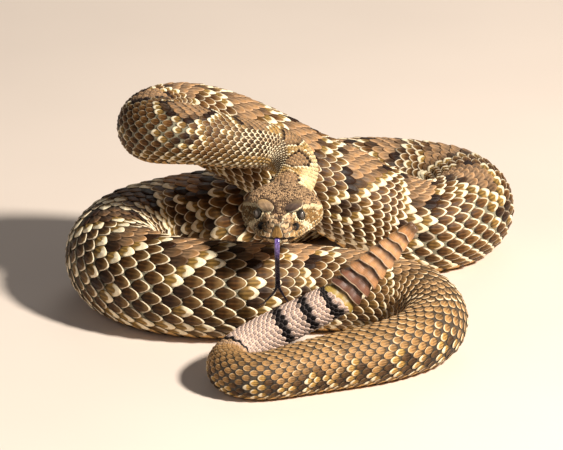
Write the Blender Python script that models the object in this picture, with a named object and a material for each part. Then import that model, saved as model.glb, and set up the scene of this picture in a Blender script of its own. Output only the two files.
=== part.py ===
"""Western diamondback rattlesnake at life size, coiled with its neck raised.

The body follows one smooth route from the root of the rattle to the back of the head. Each length of the body
is a closed loft along that route. The head, jaw, eyes, tongue and rattle are made in their own functions.
Sizes are in millimetres, and MM turns them into metres. X runs to the right, Y away from the viewer, Z up.
"""
import math

import bpy
import bmesh
import numpy as np
from mathutils import Matrix, Vector

MM = 0.001
GAP = 0.3                # between two nodes, face to face
BELLY = 0.93             # height of the body's axis over its belly flat, as a share of the radius
STEP = 1.0               # spacing of the points on the smoothed route
SMOOTHING = 4.0          # reach of the smoothing along the route
SIDES = 24               # points round the body
RING_SHARE = 0.30        # ring spacing as a share of the radius
PLACE = (0.517, -1.903, 0.0)  # moves the middle of the model's box to the origin

HEAD_BACK = (-4.2, -28.1, 71.2)
SNOUT_TIP = (-8.2, -78.1, 67.0)
NECK_DROP = 2.0          # the neck's axis meets the head this far under the head's own axis
NAPE = 10.0              # over this length the neck turns to face the way the head does
RATTLE_ROOT = 8.0        # over this length the tail turns up to the rattle
RATTLE_TIP = (58.7, -85.6, 73.5)

SKIN_MATERIAL = ("snake_skin", (0.36, 0.25, 0.14, 1.0), 0.55)
HEAD_MATERIAL = ("head_skin", (0.38, 0.27, 0.17, 1.0), 0.5)
EYE_MATERIAL = ("eye", (0.30, 0.30, 0.28, 1.0), 0.1)
TONGUE_MATERIAL = ("tongue", (0.03, 0.02, 0.05, 1.0), 0.25)
TAIL_MATERIAL = ("tail_skin", (0.55, 0.45, 0.38, 1.0), 0.5)
RATTLE_MATERIAL = ("rattle_horn", (0.45, 0.28, 0.14, 1.0), 0.45)


def clear_scene():
    for item in list(bpy.data.objects):
        bpy.data.objects.remove(item, do_unlink=True)


def material(spec):
    name, colour, roughness = spec
    found = bpy.data.materials.get(name)
    if found:
        return found
    made = bpy.data.materials.new(name)
    made.use_nodes = True
    shader = made.node_tree.nodes["Principled BSDF"]
    shader.inputs["Base Color"].default_value = colour
    shader.inputs["Roughness"].default_value = roughness
    shader.inputs["Metallic"].default_value = 0.0
    made.diffuse_color = colour
    return made


def new_object(name, mesh, spec):
    item = bpy.data.objects.new(name, mesh)
    bpy.context.scene.collection.objects.link(item)
    mesh.materials.append(material(spec))
    mesh.shade_smooth()
    mesh.set_sharp_from_angle(angle=math.radians(50))
    return item


class Route:
    """The body's axis from the rattle to the head, as named stations and round turns."""

    def __init__(self):
        self.rows = []
        self.labels = {}

    def at(self, label, x, y, radius, height=None, roll=0.0):
        """One station. Without a height the body rests on the floor."""
        if height is None:
            height = BELLY * radius
        self.labels[label] = len(self.rows)
        self.rows.append((x, y, height, radius, roll))

    def turn(self, label, centre, reach, angles, radii, heights=None, count=5):
        """A round turn: reach is its half size along X and Y, angles run in degrees from +X to +Y."""
        for index in range(count):
            share = index / (count - 1)
            angle = math.radians(angles[0] + (angles[1] - angles[0]) * share)
            radius = radii[0] + (radii[1] - radii[0]) * share
            height = None
            if heights:
                height = heights[0] + (heights[1] - heights[0]) * share
            self.at(f"{label} {index + 1}", centre[0] + reach[0] * math.cos(angle),
                    centre[1] + reach[1] * math.sin(angle), radius, height)


def body_route():
    route = Route()
    route.at("rattle root", 22.2, -85.6, 8.8, 36.0)
    route.at("tail end", 4.2, -88.1, 9.3, 27.5)
    route.at("tail middle", -12.8, -91.1, 9.8, 19.5)
    route.at("tail base", -25.0, -96.5, 10.3, 13.5)
    route.turn("tail turn", (-18.8, -110.8), (14.0, 16.5), (165, 270), (10.8, 11.7), None, 3)
    route.at("front length 1", -5.7, -124.2, 12.5)
    route.at("front length 2", 8.3, -117.8, 13.5)
    route.at("front length 3", 25.8, -110.6, 14.3)
    route.at("front length 4", 43.3, -102.5, 15.0)
    route.turn("right turn", (47.3, -64.6), (22.5, 30.0), (-60, 80), (15.8, 19.5))
    route.at("centre length 1", 28.3, -30.1, 20.8)
    route.at("centre length 2", 4.8, -30.6, 22.3)
    route.at("centre length 3", -17.7, -36.3, 23.8)
    route.turn("left turn", (-38.5, 9.4), (52.5, 49.0), (270, 115), (25.0, 25.5), None, 6)
    route.at("rear length 1", -36.8, 66.4, 25.5)
    route.at("rear length 2", -15.7, 85.4, 25.5)
    route.at("rear length 3", 3.3, 100.6, 25.2)
    route.at("rear length 4", 22.3, 112.5, 25.2)
    route.at("rear length 5", 41.5, 117.3, 25.0)
    route.turn("far turn", (60.2, 85.3), (31.0, 31.5), (80, -80), (24.2, 24.0))
    route.at("rise 1", 45.8, 54.4, 24.7, 29.0)
    route.at("rise 2", 25.8, 51.4, 24.2, 41.5, 14.0)
    route.at("rise 3", 3.3, 46.4, 23.2, 55.0, 22.0)
    route.at("far arm 1", -21.7, 43.4, 22.0, 71.0, 16.0)
    route.at("far arm 2", -42.5, 42.3, 20.8, 81.0, 6.0)
    route.turn("raised turn", (-50.3, 18.6), (22.0, 22.3), (110, 250), (19.3, 15.8), (86.0, 93.0))
    route.at("near arm 1", -46.0, -3.0, 14.7, 91.5)
    route.at("near arm 2", -29.2, -2.3, 13.2, 88.0)
    route.turn("neck turn", (-10.8, -11.6), (13.5, 13.5), (90, -35), (11.6, 10.0), (84.5, 72.5), 4)
    route.at("nape", HEAD_BACK[0], HEAD_BACK[1], 10.4, HEAD_BACK[2] - NECK_DROP)
    return route


def spline(rows, share_count=16):
    """A Catmull-Rom curve through the rows."""
    points = np.asarray(rows, float)
    last = len(points) - 1
    curve = []
    for index in range(last):
        before = points[max(index - 1, 0)]
        start = points[index]
        end = points[index + 1]
        after = points[min(index + 2, last)]
        for share in np.linspace(0.0, 1.0, share_count, endpoint=False):
            curve.append(0.5 * (2 * start + (end - before) * share
                                + (2 * before - 5 * start + 4 * end - after) * share ** 2
                                + (3 * start - before - 3 * end + after) * share ** 3))
    curve.append(points[-1])
    return np.array(curve)


def evenly(curve, step):
    """The same curve with points a constant step apart, and the distance of each along it."""
    sizes = np.linalg.norm(np.diff(curve[:, :3], axis=0), axis=1)
    along = np.concatenate(([0.0], np.cumsum(sizes)))
    wanted = np.linspace(0.0, along[-1], int(along[-1] / step) + 1)
    return np.stack([np.interp(wanted, along, column) for column in curve.T], axis=1), wanted


def smoothed(curve, step, reach):
    """Each column averaged along the curve with a bell of the given reach, its two ends held."""
    half = int(3 * reach / step)
    bell = np.exp(-0.5 * (np.arange(-half, half + 1) * step / reach) ** 2)
    bell /= bell.sum()
    head = 2 * curve[0] - curve[half:0:-1]
    tail = 2 * curve[-1] - curve[-2:-half - 2:-1]
    longer = np.concatenate([head, curve, tail])
    return np.stack([np.convolve(column, bell, "valid") for column in longer.T], axis=1)


def eased(share):
    """A share held between 0 and 1 that leaves both ends gently."""
    share = min(max(share, 0.0), 1.0)
    return share * share * (3 - 2 * share)


class Body:
    """The smooth route with a frame at each point: where it is, which way it runs, and its back and side."""

    def __init__(self):
        route = body_route()
        curve, _ = evenly(spline(route.rows), STEP)
        curve = smoothed(curve, STEP, SMOOTHING)
        self.rows, self.along = evenly(curve, STEP)
        stations = np.array(route.rows)[:, :3]
        self.place = {}
        first = 0
        for label, index in route.labels.items():
            away = np.linalg.norm(self.rows[first:, :3] - stations[index], axis=1)
            near = first + int(np.argmin(away[:120]))
            self.place[label] = self.along[near]
            first = near
        self.length = self.along[-1]

    def frame(self, distance):
        """Point, run, side and back directions, and radius at a distance from the rattle."""
        row = [np.interp(distance, self.along, column) for column in self.rows.T]
        point = np.array(row[:3])
        reach = 0.5 * STEP
        ahead = np.array([np.interp(distance + reach, self.along, column) for column in self.rows[:, :3].T])
        behind = np.array([np.interp(distance - reach, self.along, column) for column in self.rows[:, :3].T])
        run = ahead - behind
        run /= np.linalg.norm(run)
        for facing, share in ((np.array(SNOUT_TIP) - np.array(HEAD_BACK), 1 - (self.length - distance) / NAPE),
                              (self.rows[0][:3] - np.array(RATTLE_TIP), 1 - distance / RATTLE_ROOT)):
            share = eased(share)
            run = run * (1 - share) + facing / np.linalg.norm(facing) * share
            run /= np.linalg.norm(run)
        side = np.cross(run, (0.0, 0.0, 1.0))
        side /= np.linalg.norm(side)
        back = np.cross(side, run)
        roll = math.radians(row[4])
        turned_side = side * math.cos(roll) + back * math.sin(roll)
        turned_back = back * math.cos(roll) - side * math.sin(roll)
        return point, run, turned_side, turned_back, row[3]


def body_section(radius, angle):
    """Side and back offsets of the skin at an angle from the middle of the back: a round body, flat below."""
    side = radius * math.sin(angle)
    back = radius * math.cos(angle)
    return side, max(back, -BELLY * radius)


def loft(name, rings, spec):
    """A closed body from rings of equal point counts, with a flat fan at each end."""
    work = bmesh.new()
    shift = np.array(PLACE)
    rows = [[work.verts.new(Vector((point + shift) * MM)) for point in ring] for ring in rings]
    count = len(rows[0])
    for lower, upper in zip(rows[:-1], rows[1:]):
        for index in range(count):
            after = (index + 1) % count
            work.faces.new((lower[index], lower[after], upper[after], upper[index]))
    for row, turned in ((rows[0], True), (rows[-1], False)):
        middle = work.verts.new(sum((vert.co for vert in row), Vector()) / count)
        for index in range(count):
            after = (index + 1) % count
            corners = (row[after], row[index], middle) if turned else (row[index], row[after], middle)
            work.faces.new(corners)
    bmesh.ops.triangulate(work, faces=work.faces[:])
    bmesh.ops.recalc_face_normals(work, faces=work.faces[:])
    mesh = bpy.data.meshes.new(name)
    work.to_mesh(mesh)
    work.free()
    return new_object(name, mesh, spec)


def body_length(body, name, start, end, spec):
    """One length of the body between two distances along it, half a gap short at each cut."""
    first = start + 0.5 * GAP
    last = end - 0.5 * GAP
    middle_radius = body.frame(0.5 * (first + last))[4]
    count = max(2, round((last - first) / (RING_SHARE * middle_radius)))
    rings = []
    for distance in np.linspace(first, last, count + 1):
        point, _, side, back, radius = body.frame(distance)
        ring = []
        for index in range(SIDES):
            across, up = body_section(radius, 2 * math.pi * (index + 0.5) / SIDES)
            spot = point + side * across + back * up
            if spot[2] < GAP:
                spot[2] = 0.0
            ring.append(spot)
        rings.append(ring)
    return loft(name, rings, spec)


def build_body(body):
    """The lengths of the body, each between two of the route's stations."""
    lengths = (
        ("tail", "rattle root", "tail base", TAIL_MATERIAL),
        ("tail_turn", "tail base", "tail turn 3", SKIN_MATERIAL),
        ("front_length_left", "tail turn 3", "front length 3", SKIN_MATERIAL),
        ("front_length_right", "front length 3", "right turn 1", SKIN_MATERIAL),
        ("right_turn_front", "right turn 1", "right turn 3", SKIN_MATERIAL),
        ("right_turn_back", "right turn 3", "right turn 5", SKIN_MATERIAL),
        ("centre_length_right", "right turn 5", "centre length 2", SKIN_MATERIAL),
        ("centre_length_left", "centre length 2", "left turn 1", SKIN_MATERIAL),
        ("left_turn_front", "left turn 1", "left turn 3", SKIN_MATERIAL),
        ("left_turn_middle", "left turn 3", "left turn 5", SKIN_MATERIAL),
        ("left_turn_back", "left turn 5", "rear length 1", SKIN_MATERIAL),
        ("rear_length_left", "rear length 1", "rear length 3", SKIN_MATERIAL),
        ("rear_length_right", "rear length 3", "rear length 5", SKIN_MATERIAL),
        ("far_turn_back", "rear length 5", "far turn 3", SKIN_MATERIAL),
        ("far_turn_front", "far turn 3", "far turn 5", SKIN_MATERIAL),
        ("rising_length", "far turn 5", "rise 3", SKIN_MATERIAL),
        ("raised_far_arm", "rise 3", "far arm 2", SKIN_MATERIAL),
        ("raised_turn_back", "far arm 2", "raised turn 3", SKIN_MATERIAL),
        ("raised_turn_front", "raised turn 3", "near arm 1", SKIN_MATERIAL),
        ("raised_near_arm", "near arm 1", "neck turn 1", SKIN_MATERIAL),
        ("neck_turn", "neck turn 1", "neck turn 3", SKIN_MATERIAL),
        ("neck", "neck turn 3", "nape", SKIN_MATERIAL),
    )
    for name, start, end, spec in lengths:
        body_length(body, name, body.place[start], body.place[end], spec)


class HeadFrame:
    """The head's own axes: along runs from its back to the snout, across to the snake's left, up over its crown."""

    def __init__(self):
        self.back = np.array(HEAD_BACK)
        run = np.array(SNOUT_TIP) - self.back
        self.length = np.linalg.norm(run)
        self.run = run / self.length
        side = np.cross((0.0, 0.0, 1.0), self.run)
        self.side = side / np.linalg.norm(side)
        self.up = np.cross(self.run, self.side)

    def spot(self, along, across, up):
        return self.back + self.run * along + self.side * across + self.up * up

    def matrix(self, along, across, up):
        """The place of a helper whose own X, Y and Z run along, across and up the head."""
        spot = (self.spot(along, across, up) + np.array(PLACE)) * MM
        columns = (self.run, self.side, self.up)
        return Matrix.Translation(Vector(spot)) @ Matrix([list(row) for row in zip(*columns)]).to_4x4()


# Distances from the back of the head, with the head's half width, the crown's height over the axis,
# the height of the line of the mouth, and the height of the throat.
HEAD_PROFILE = (
    # along, half width, crown, mouth, throat
    (0.0, 10.6, 8.4, -3.0, -11.8),
    (4.0, 12.4, 8.4, -3.4, -11.8),
    (9.0, 17.0, 8.6, -3.8, -11.7),
    (14.0, 20.0, 8.8, -4.4, -11.3),
    (19.0, 20.4, 8.8, -5.0, -10.9),
    (24.0, 19.0, 8.6, -5.4, -10.5),
    (29.0, 16.6, 8.4, -5.4, -10.1),
    (34.0, 14.4, 8.1, -5.0, -9.7),
    (39.0, 12.4, 7.2, -4.4, -9.2),
    (43.5, 10.5, 6.4, -3.7, -8.6),
    (47.0, 8.4, 5.7, -3.2, -7.9),
    (49.2, 5.8, 4.5, -3.0, -6.8),
    (50.1, 2.6, 2.3, -2.9, -5.0),
)
HEAD_SIDES = 32
HEAD_BOX = 2.6           # how square the throat's section is: 2 would be an ellipse
HEAD_SHAPE = (
    # along, how much narrower the crown is than the lips, how square the upper section is
    (0.0, 0.0, 2.6),
    (22.0, 0.04, 2.6),
    (29.0, 0.14, 2.9),
    (34.0, 0.24, 3.6),
    (39.0, 0.36, 4.2),
    (43.5, 0.50, 4.2),
    (47.0, 0.60, 3.8),
    (49.2, 0.62, 3.2),
    (50.4, 0.60, 3.0),
)
JAW_BACK = 13.0          # where the mouth ends, from the back of the head
JAW_FRONT = 48.6
LIP = 0.7                # the lower jaw is this much narrower than the upper lip
EYE_PLACE = (35.2, 10.1, 3.9)
EYE_RADIUS = 2.7
EYE_YAW = 32.0           # degrees that the eye looks forward from straight out
BROW_PLACE = (34.0, 8.5, 7.0)
BROW_SIZE = (6.6, 4.1, 1.5)
BROW_TILT = 15.0         # degrees that the brow slopes down and outwards
BROW_YAW = 13.0          # degrees that it closes in towards the snout
RIM = 0.6                # thickness of the raised rim round the eye
RIM_OUT = 0.2            # how far the rim lies out from the middle of the eye
PIT_PLACE = (42.5, 8.7, 0.6)
PIT_SIZE = (2.2, 2.2, 1.4)
NOSTRIL_PLACE = (46.0, 5.4, 3.3)
NOSTRIL_SIZE = (0.8, 1.4, 0.7)
NOTCH_PLACE = (49.0, 0.0, -3.2)  # where the tongue leaves the mouth
NOTCH_SIZE = (9.0, 4.2, 2.2)


def head_profile(along):
    """Half width, crown, mouth and throat at a distance from the back of the head."""
    curve = spline(HEAD_PROFILE, 8)
    return [float(np.interp(along, curve[:, 0], column)) for column in curve[:, 1:].T]


def squared(angle, power):
    """Side and up shares of a boxy round section at an angle from the top."""
    side = math.sin(angle)
    up = math.cos(angle)
    return (math.copysign(abs(side) ** (2.0 / power), side), math.copysign(abs(up) ** (2.0 / power), up))


def head_ring(frame, along, lowest=None, highest=None, inset=0.0):
    """One section of the head. Points under lowest or over highest are brought to that level."""
    width, crown, mouth, throat = head_profile(along)
    width -= inset
    table = np.array(HEAD_SHAPE)
    taper = float(np.interp(along, table[:, 0], table[:, 1]))
    box = float(np.interp(along, table[:, 0], table[:, 2]))
    ring = []
    for index in range(HEAD_SIDES):
        angle = 2 * math.pi * (index + 0.5) / HEAD_SIDES
        if math.cos(angle) > 0:
            side, up = squared(angle, box)
            across = width * side * (1 - taper * up)
            height = mouth + (crown - mouth) * up
        else:
            side, up = squared(angle, HEAD_BOX)
            across = width * side
            height = mouth + (mouth - throat) * up
        if lowest is not None and height < lowest:
            height = lowest
        if highest is not None and height > highest:
            height = highest
        ring.append(frame.spot(along, across, height))
    return ring


def upper_head(frame):
    """The head with all above the line of the mouth, and behind the mouth the throat as well."""
    rings = [head_ring(frame, along) for along in np.linspace(0.5 * GAP, JAW_BACK, 7)]
    for along in np.concatenate(([JAW_BACK + 0.05], np.linspace(JAW_BACK + 2.0, 46.0, 14), [47.6, 48.8, 49.8])):
        mouth = head_profile(along)[2]
        rings.append(head_ring(frame, along, lowest=mouth + 0.5 * GAP))
    return loft("head", rings, HEAD_MATERIAL)


def lower_jaw(frame):
    rings = []
    for along in np.concatenate((np.linspace(JAW_BACK + 0.05 + GAP, 46.0, 12), [47.3, JAW_FRONT])):
        mouth = head_profile(along)[2]
        inset = LIP + (1.6 if along == JAW_FRONT else 0.0)
        rings.append(head_ring(frame, along, highest=mouth - 0.5 * GAP, inset=inset))
    return loft("lower_jaw", rings, HEAD_MATERIAL)


def helper_mesh(name, work, matrix):
    """A closed helper shape, kept out of the model."""
    mesh = bpy.data.meshes.new(name)
    bmesh.ops.triangulate(work, faces=work.faces[:])
    work.to_mesh(mesh)
    work.free()
    mesh.transform(matrix)
    item = bpy.data.objects.new(name, mesh)
    bpy.context.scene.collection.objects.link(item)
    item.hide_render = True
    item.display_type = "WIRE"
    return item


def ball(name, matrix, sizes, rounds=12, levels=8):
    work = bmesh.new()
    bmesh.ops.create_uvsphere(work, u_segments=rounds, v_segments=levels, radius=MM)
    bmesh.ops.scale(work, vec=Vector(sizes), verts=work.verts)
    return helper_mesh(name, work, matrix)


def ring_shape(name, matrix, radius, thickness, rounds=14, sides=6):
    """A closed ring round its own Y axis."""
    work = bmesh.new()
    loops = []
    for turn in range(rounds):
        angle = 2 * math.pi * turn / rounds
        loop = []
        for side in range(sides):
            tilt = 2 * math.pi * side / sides
            reach = radius + thickness * math.cos(tilt)
            loop.append(work.verts.new(Vector((reach * math.cos(angle), thickness * math.sin(tilt),
                                               reach * math.sin(angle))) * MM))
        loops.append(loop)
    for turn in range(rounds):
        one = loops[turn]
        two = loops[(turn + 1) % rounds]
        for side in range(sides):
            after = (side + 1) % sides
            work.faces.new((one[side], one[after], two[after], two[side]))
    bmesh.ops.recalc_face_normals(work, faces=work.faces[:])
    return helper_mesh(name, work, matrix)


def block(name, matrix, sizes):
    work = bmesh.new()
    bmesh.ops.create_cube(work, size=MM)
    bmesh.ops.scale(work, vec=Vector(sizes), verts=work.verts)
    return helper_mesh(name, work, matrix)


def boolean(item, helpers, operation):
    """One Boolean of an object with a collection of helpers, applied, after which the helpers are removed."""
    group = bpy.data.collections.new(f"{item.name}_{operation.lower()}")
    bpy.context.scene.collection.children.link(group)
    for helper in helpers:
        group.objects.link(helper)
    modifier = item.modifiers.new(operation.lower(), "BOOLEAN")
    modifier.operand_type = "COLLECTION"
    modifier.collection = group
    modifier.operation = operation
    modifier.solver = "EXACT"
    bpy.context.view_layer.update()
    evaluated = item.evaluated_get(bpy.context.evaluated_depsgraph_get())
    mesh = bpy.data.meshes.new_from_object(evaluated)
    item.modifiers.clear()
    item.data = mesh
    for helper in helpers:
        bpy.data.objects.remove(helper, do_unlink=True)
    bpy.data.collections.remove(group)


def keep_largest(item):
    """Keeps the largest closed surface of an object."""
    work = bmesh.new()
    work.from_mesh(item.data)
    left = set(work.verts)
    largest = set()
    while left:
        stack = [left.pop()]
        found = set(stack)
        while stack:
            for edge in stack.pop().link_edges:
                for vert in edge.verts:
                    if vert in left:
                        left.remove(vert)
                        found.add(vert)
                        stack.append(vert)
        if len(found) > len(largest):
            largest = found
    bmesh.ops.delete(work, geom=[vert for vert in work.verts if vert not in largest], context="VERTS")
    work.to_mesh(item.data)
    work.free()


def mirrored(place, hand):
    return (place[0], place[1] * hand, place[2])


def build_head():
    """The head with its brows, eye rims, eye sockets, heat pits, nostrils and tongue notch, then jaw and eyes."""
    frame = HeadFrame()
    head = upper_head(frame)
    raised = []
    cut = []
    for hand, name in ((1, "left"), (-1, "right")):
        yaw = Matrix.Rotation(math.radians(-BROW_YAW * hand), 4, "Z")
        brow = frame.matrix(*mirrored(BROW_PLACE, hand)) @ yaw
        brow = brow @ Matrix.Rotation(math.radians(-BROW_TILT * hand), 4, "X")
        raised.append(ball(f"brow_{name}", brow, BROW_SIZE))
        eye = frame.matrix(*mirrored(EYE_PLACE, hand)) @ Matrix.Rotation(math.radians(-EYE_YAW * hand), 4, "Z")
        rim = eye @ Matrix.Translation((0, RIM_OUT * MM * hand, 0))
        raised.append(ring_shape(f"eye_rim_{name}", rim, EYE_RADIUS + RIM, RIM))
        cut.append(ball(f"socket_{name}", eye, [EYE_RADIUS + GAP] * 3, 14, 8))
        pit = frame.matrix(*mirrored(PIT_PLACE, hand))
        cut.append(ball(f"pit_{name}", pit, PIT_SIZE, 8, 6))
        nostril = frame.matrix(*mirrored(NOSTRIL_PLACE, hand))
        cut.append(ball(f"nostril_{name}", nostril, NOSTRIL_SIZE, 8, 6))
    cut.append(block("tongue_notch", frame.matrix(*NOTCH_PLACE), NOTCH_SIZE))
    boolean(head, raised, "UNION")
    boolean(head, cut, "DIFFERENCE")
    keep_largest(head)
    jaw = lower_jaw(frame)
    groove = block("tongue_groove", frame.matrix(*NOTCH_PLACE), NOTCH_SIZE)
    boolean(jaw, [groove], "DIFFERENCE")
    keep_largest(jaw)
    for hand, name in ((1, "left"), (-1, "right")):
        work = bmesh.new()
        bmesh.ops.create_uvsphere(work, u_segments=14, v_segments=8, radius=EYE_RADIUS * MM)
        mesh = bpy.data.meshes.new(f"eye_{name}")
        work.to_mesh(mesh)
        work.free()
        mesh.transform(frame.matrix(*mirrored(EYE_PLACE, hand)))
        new_object(f"eye_{name}", mesh, EYE_MATERIAL)


TONGUE_PATH = (
    # along the head, across, height, half width
    (45.4, 0.0, -3.0, 1.3),
    (48.5, 0.0, -3.0, 1.3),
    (51.0, 0.0, -4.4, 1.3),
    (51.6, 0.0, -9.0, 1.3),
    (50.6, 0.0, -18.0, 1.2),
    (49.2, 0.0, -26.0, 1.3),
    (48.2, 0.0, -30.5, 1.5),
)
TONGUE_TINES = (
    # the path of each tine: along the head, across, height, half width
    ((48.2, -0.75, -30.5, 0.75), (47.6, -2.6, -34.0, 0.6), (46.8, -6.6, -39.0, 0.45), (46.4, -10.0, -41.5, 0.3)),
    ((48.2, 0.75, -30.5, 0.75), (47.6, 2.6, -34.5, 0.6), (46.8, 5.8, -40.0, 0.45), (46.4, 9.0, -43.5, 0.3)),
)
TONGUE_FLATNESS = 0.5    # the tongue's thickness as a share of its width


def ribbon_rings(frame, path, sides=6):
    """Round sections, flattened front to back, along a hanging path given in the head's own axes."""
    curve = spline(path, 3)
    spots = [frame.spot(*row[:3]) for row in curve]
    rings = []
    for index, (spot, row) in enumerate(zip(spots, curve)):
        run = spots[min(index + 1, len(spots) - 1)] - spots[max(index - 1, 0)]
        run /= np.linalg.norm(run)
        thin = np.cross(run, frame.side)
        thin /= np.linalg.norm(thin)
        wide = np.cross(thin, run)
        ring = []
        for turn in range(sides):
            angle = 2 * math.pi * turn / sides
            ring.append(spot + wide * row[3] * math.cos(angle)
                        + thin * max(row[3] * TONGUE_FLATNESS, 0.25) * math.sin(angle))
        rings.append(ring)
    return rings


def build_tongue():
    frame = HeadFrame()
    tongue = loft("tongue", ribbon_rings(frame, TONGUE_PATH), TONGUE_MATERIAL)
    tines = []
    for number, path in enumerate(TONGUE_TINES):
        start = np.array(path[0])
        root = (start[0] + 0.3, start[1] * 0.8, start[2] + 2.2, start[3])
        tine = loft(f"tine_{number}", ribbon_rings(frame, (root,) + path), TONGUE_MATERIAL)
        tine.hide_render = True
        tine.display_type = "WIRE"
        tines.append(tine)
    boolean(tongue, tines, "UNION")
    keep_largest(tongue)


# Each segment of the rattle: its length, half height and half thickness at its rim.
RATTLE_SEGMENTS = (
    # length, half height, half thickness
    (5.4, 9.2, 6.6),
    (5.9, 9.4, 6.0),
    (6.2, 9.5, 5.8),
    (6.2, 9.1, 5.5),
    (6.1, 8.3, 5.2),
    (5.9, 7.5, 4.8),
    (5.7, 6.6, 4.4),
    (5.6, 5.5, 3.9),
    (6.0, 4.3, 3.3),
)
SEGMENT_SHAPE = (
    # share of the length, share of the half height and thickness
    (0.0, 0.80),
    (0.14, 0.98),
    (0.34, 1.0),
    (0.7, 0.86),
    (1.0, 0.76),
    (1.35, 0.64),
)
GROOVE = 0.2             # depth of the groove along each face, as a share of the thickness
RATTLE_SIDES = 16


def rattle_frame(body):
    """Start, run, back and side of the rattle. Its broad faces look along its side."""
    point, _, _, _, _ = body.frame(0.0)
    run = np.array(RATTLE_TIP) - point
    length = np.linalg.norm(run)
    run /= length
    side = np.cross(run, (0.0, 0.0, 1.0))
    side /= np.linalg.norm(side)
    back = np.cross(side, run)
    return point, run, side, back, length


def build_rattle(body):
    """Interlocking horny segments, each a rimmed bell that grips the next, fused into one."""
    point, run, side, back, length = rattle_frame(body)
    whole = sum(row[0] for row in RATTLE_SEGMENTS)
    scale = length / whole
    start = 0.5 * GAP
    pieces = []
    for number, (size, half_height, half_thickness) in enumerate(RATTLE_SEGMENTS):
        size *= scale
        rings = []
        last = number == len(RATTLE_SEGMENTS) - 1
        shape = SEGMENT_SHAPE[:-1] + ((1.12, 0.3),) if last else SEGMENT_SHAPE
        for share, swell in shape:
            ring = []
            for index in range(RATTLE_SIDES):
                angle = 2 * math.pi * index / RATTLE_SIDES
                up = half_height * swell * math.cos(angle)
                across = half_thickness * swell * math.copysign(abs(math.sin(angle)) ** 0.8, math.sin(angle))
                across *= 1.0 - GROOVE * math.exp(-(up / (0.3 * half_height)) ** 2)
                ring.append(point + run * (start + share * size) + back * up + side * across)
            rings.append(ring)
        pieces.append(loft(f"rattle_segment_{number}", rings, RATTLE_MATERIAL))
        start += size
    rattle = pieces[0]
    rattle.name = "rattle"
    for piece in pieces[1:]:
        piece.hide_render = True
        piece.display_type = "WIRE"
    boolean(rattle, pieces[1:], "UNION")
    keep_largest(rattle)


def main():
    clear_scene()
    body = Body()
    build_body(body)
    build_head()
    build_tongue()
    build_rattle(body)


main()
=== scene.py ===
"""Looks of the life-size western diamondback rattlesnake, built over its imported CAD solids.

One skin runs from the rattle to the snout. Scales, belly plates and head shields are solid pieces laid over
it, and the eyes, tongue and rattle are pieces of their own. Lengths in the code are in millimetres, in the
axes of the solids' route, and to_metres brings them to the model's place.
"""
import math

import bpy
import numpy as np
from bpy.props import FloatProperty, FloatVectorProperty, IntProperty, PointerProperty
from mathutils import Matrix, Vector


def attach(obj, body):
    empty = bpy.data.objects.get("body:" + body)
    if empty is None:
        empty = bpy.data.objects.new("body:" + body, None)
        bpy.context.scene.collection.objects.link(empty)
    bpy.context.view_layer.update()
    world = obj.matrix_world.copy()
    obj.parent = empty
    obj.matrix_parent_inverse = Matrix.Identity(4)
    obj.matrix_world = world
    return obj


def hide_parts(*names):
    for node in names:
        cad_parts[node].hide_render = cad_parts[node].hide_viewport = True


bl_info = {
    "name": "Diamondback rattlesnake",
    "version": (1, 0, 0),
    "blender": (4, 5, 0),
    "location": "3D View > Sidebar > Snake",
    "description": "Builds the skin, scales, head, eyes, tongue and rattle of a coiled rattlesnake",
    "category": "Object",
}

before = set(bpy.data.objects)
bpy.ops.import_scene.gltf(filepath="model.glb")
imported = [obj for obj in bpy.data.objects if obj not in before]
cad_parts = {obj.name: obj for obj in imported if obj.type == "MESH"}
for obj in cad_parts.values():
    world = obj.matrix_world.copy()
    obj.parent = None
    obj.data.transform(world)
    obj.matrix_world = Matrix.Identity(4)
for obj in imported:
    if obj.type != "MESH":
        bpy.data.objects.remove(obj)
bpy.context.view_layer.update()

MM = 0.001
BODY = "root"
PLACE = np.array((0.517, -1.903, 0.0))   # moves the route's own axes to the middle of the model

# The route of the body, as in the solids.
BELLY = 0.93             # height of the body's axis over its belly flat, as a share of the radius
STEP = 1.0               # spacing of the points on the smoothed route
SMOOTHING = 4.0          # reach of the smoothing along the route
HEAD_BACK = np.array((-4.2, -28.1, 71.2))
SNOUT_TIP = np.array((-8.2, -78.1, 67.0))
NECK_DROP = 2.0          # the neck's axis meets the head this far under the head's own axis
NECK_RADIUS = 10.4
NAPE = 10.0              # over this length the neck turns to face the way the head does
RATTLE_ROOT = 8.0        # over this length the tail turns up to the rattle
RATTLE_TIP = np.array((58.7, -85.6, 73.5))

# Distances from the rattle's root, in millimetres: the middle and half width of each ring of the tail,
# and the middle of each blotch of the back.
TAIL_RINGS = ((4.0, 2.8), (17.0, 2.5), (31.0, 2.5), (60.5, 1.8))
BLOTCHES = (70, 92, 114, 137, 161, 186, 213, 241, 269, 297, 322, 352, 384, 413, 444, 480, 516, 548, 576,
            602, 636, 676, 713, 756, 790, 821, 850, 873, 905, 939, 957, 973, 989)

# Scale rows on each side of the middle row at the neck, and where rows end towards the tail.
ROWS = 14
ROW_ENDS = ((948.0, 6), (545.0, 9), (520.0, 4), (84.0, 8), (46.0, 5))

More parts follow.
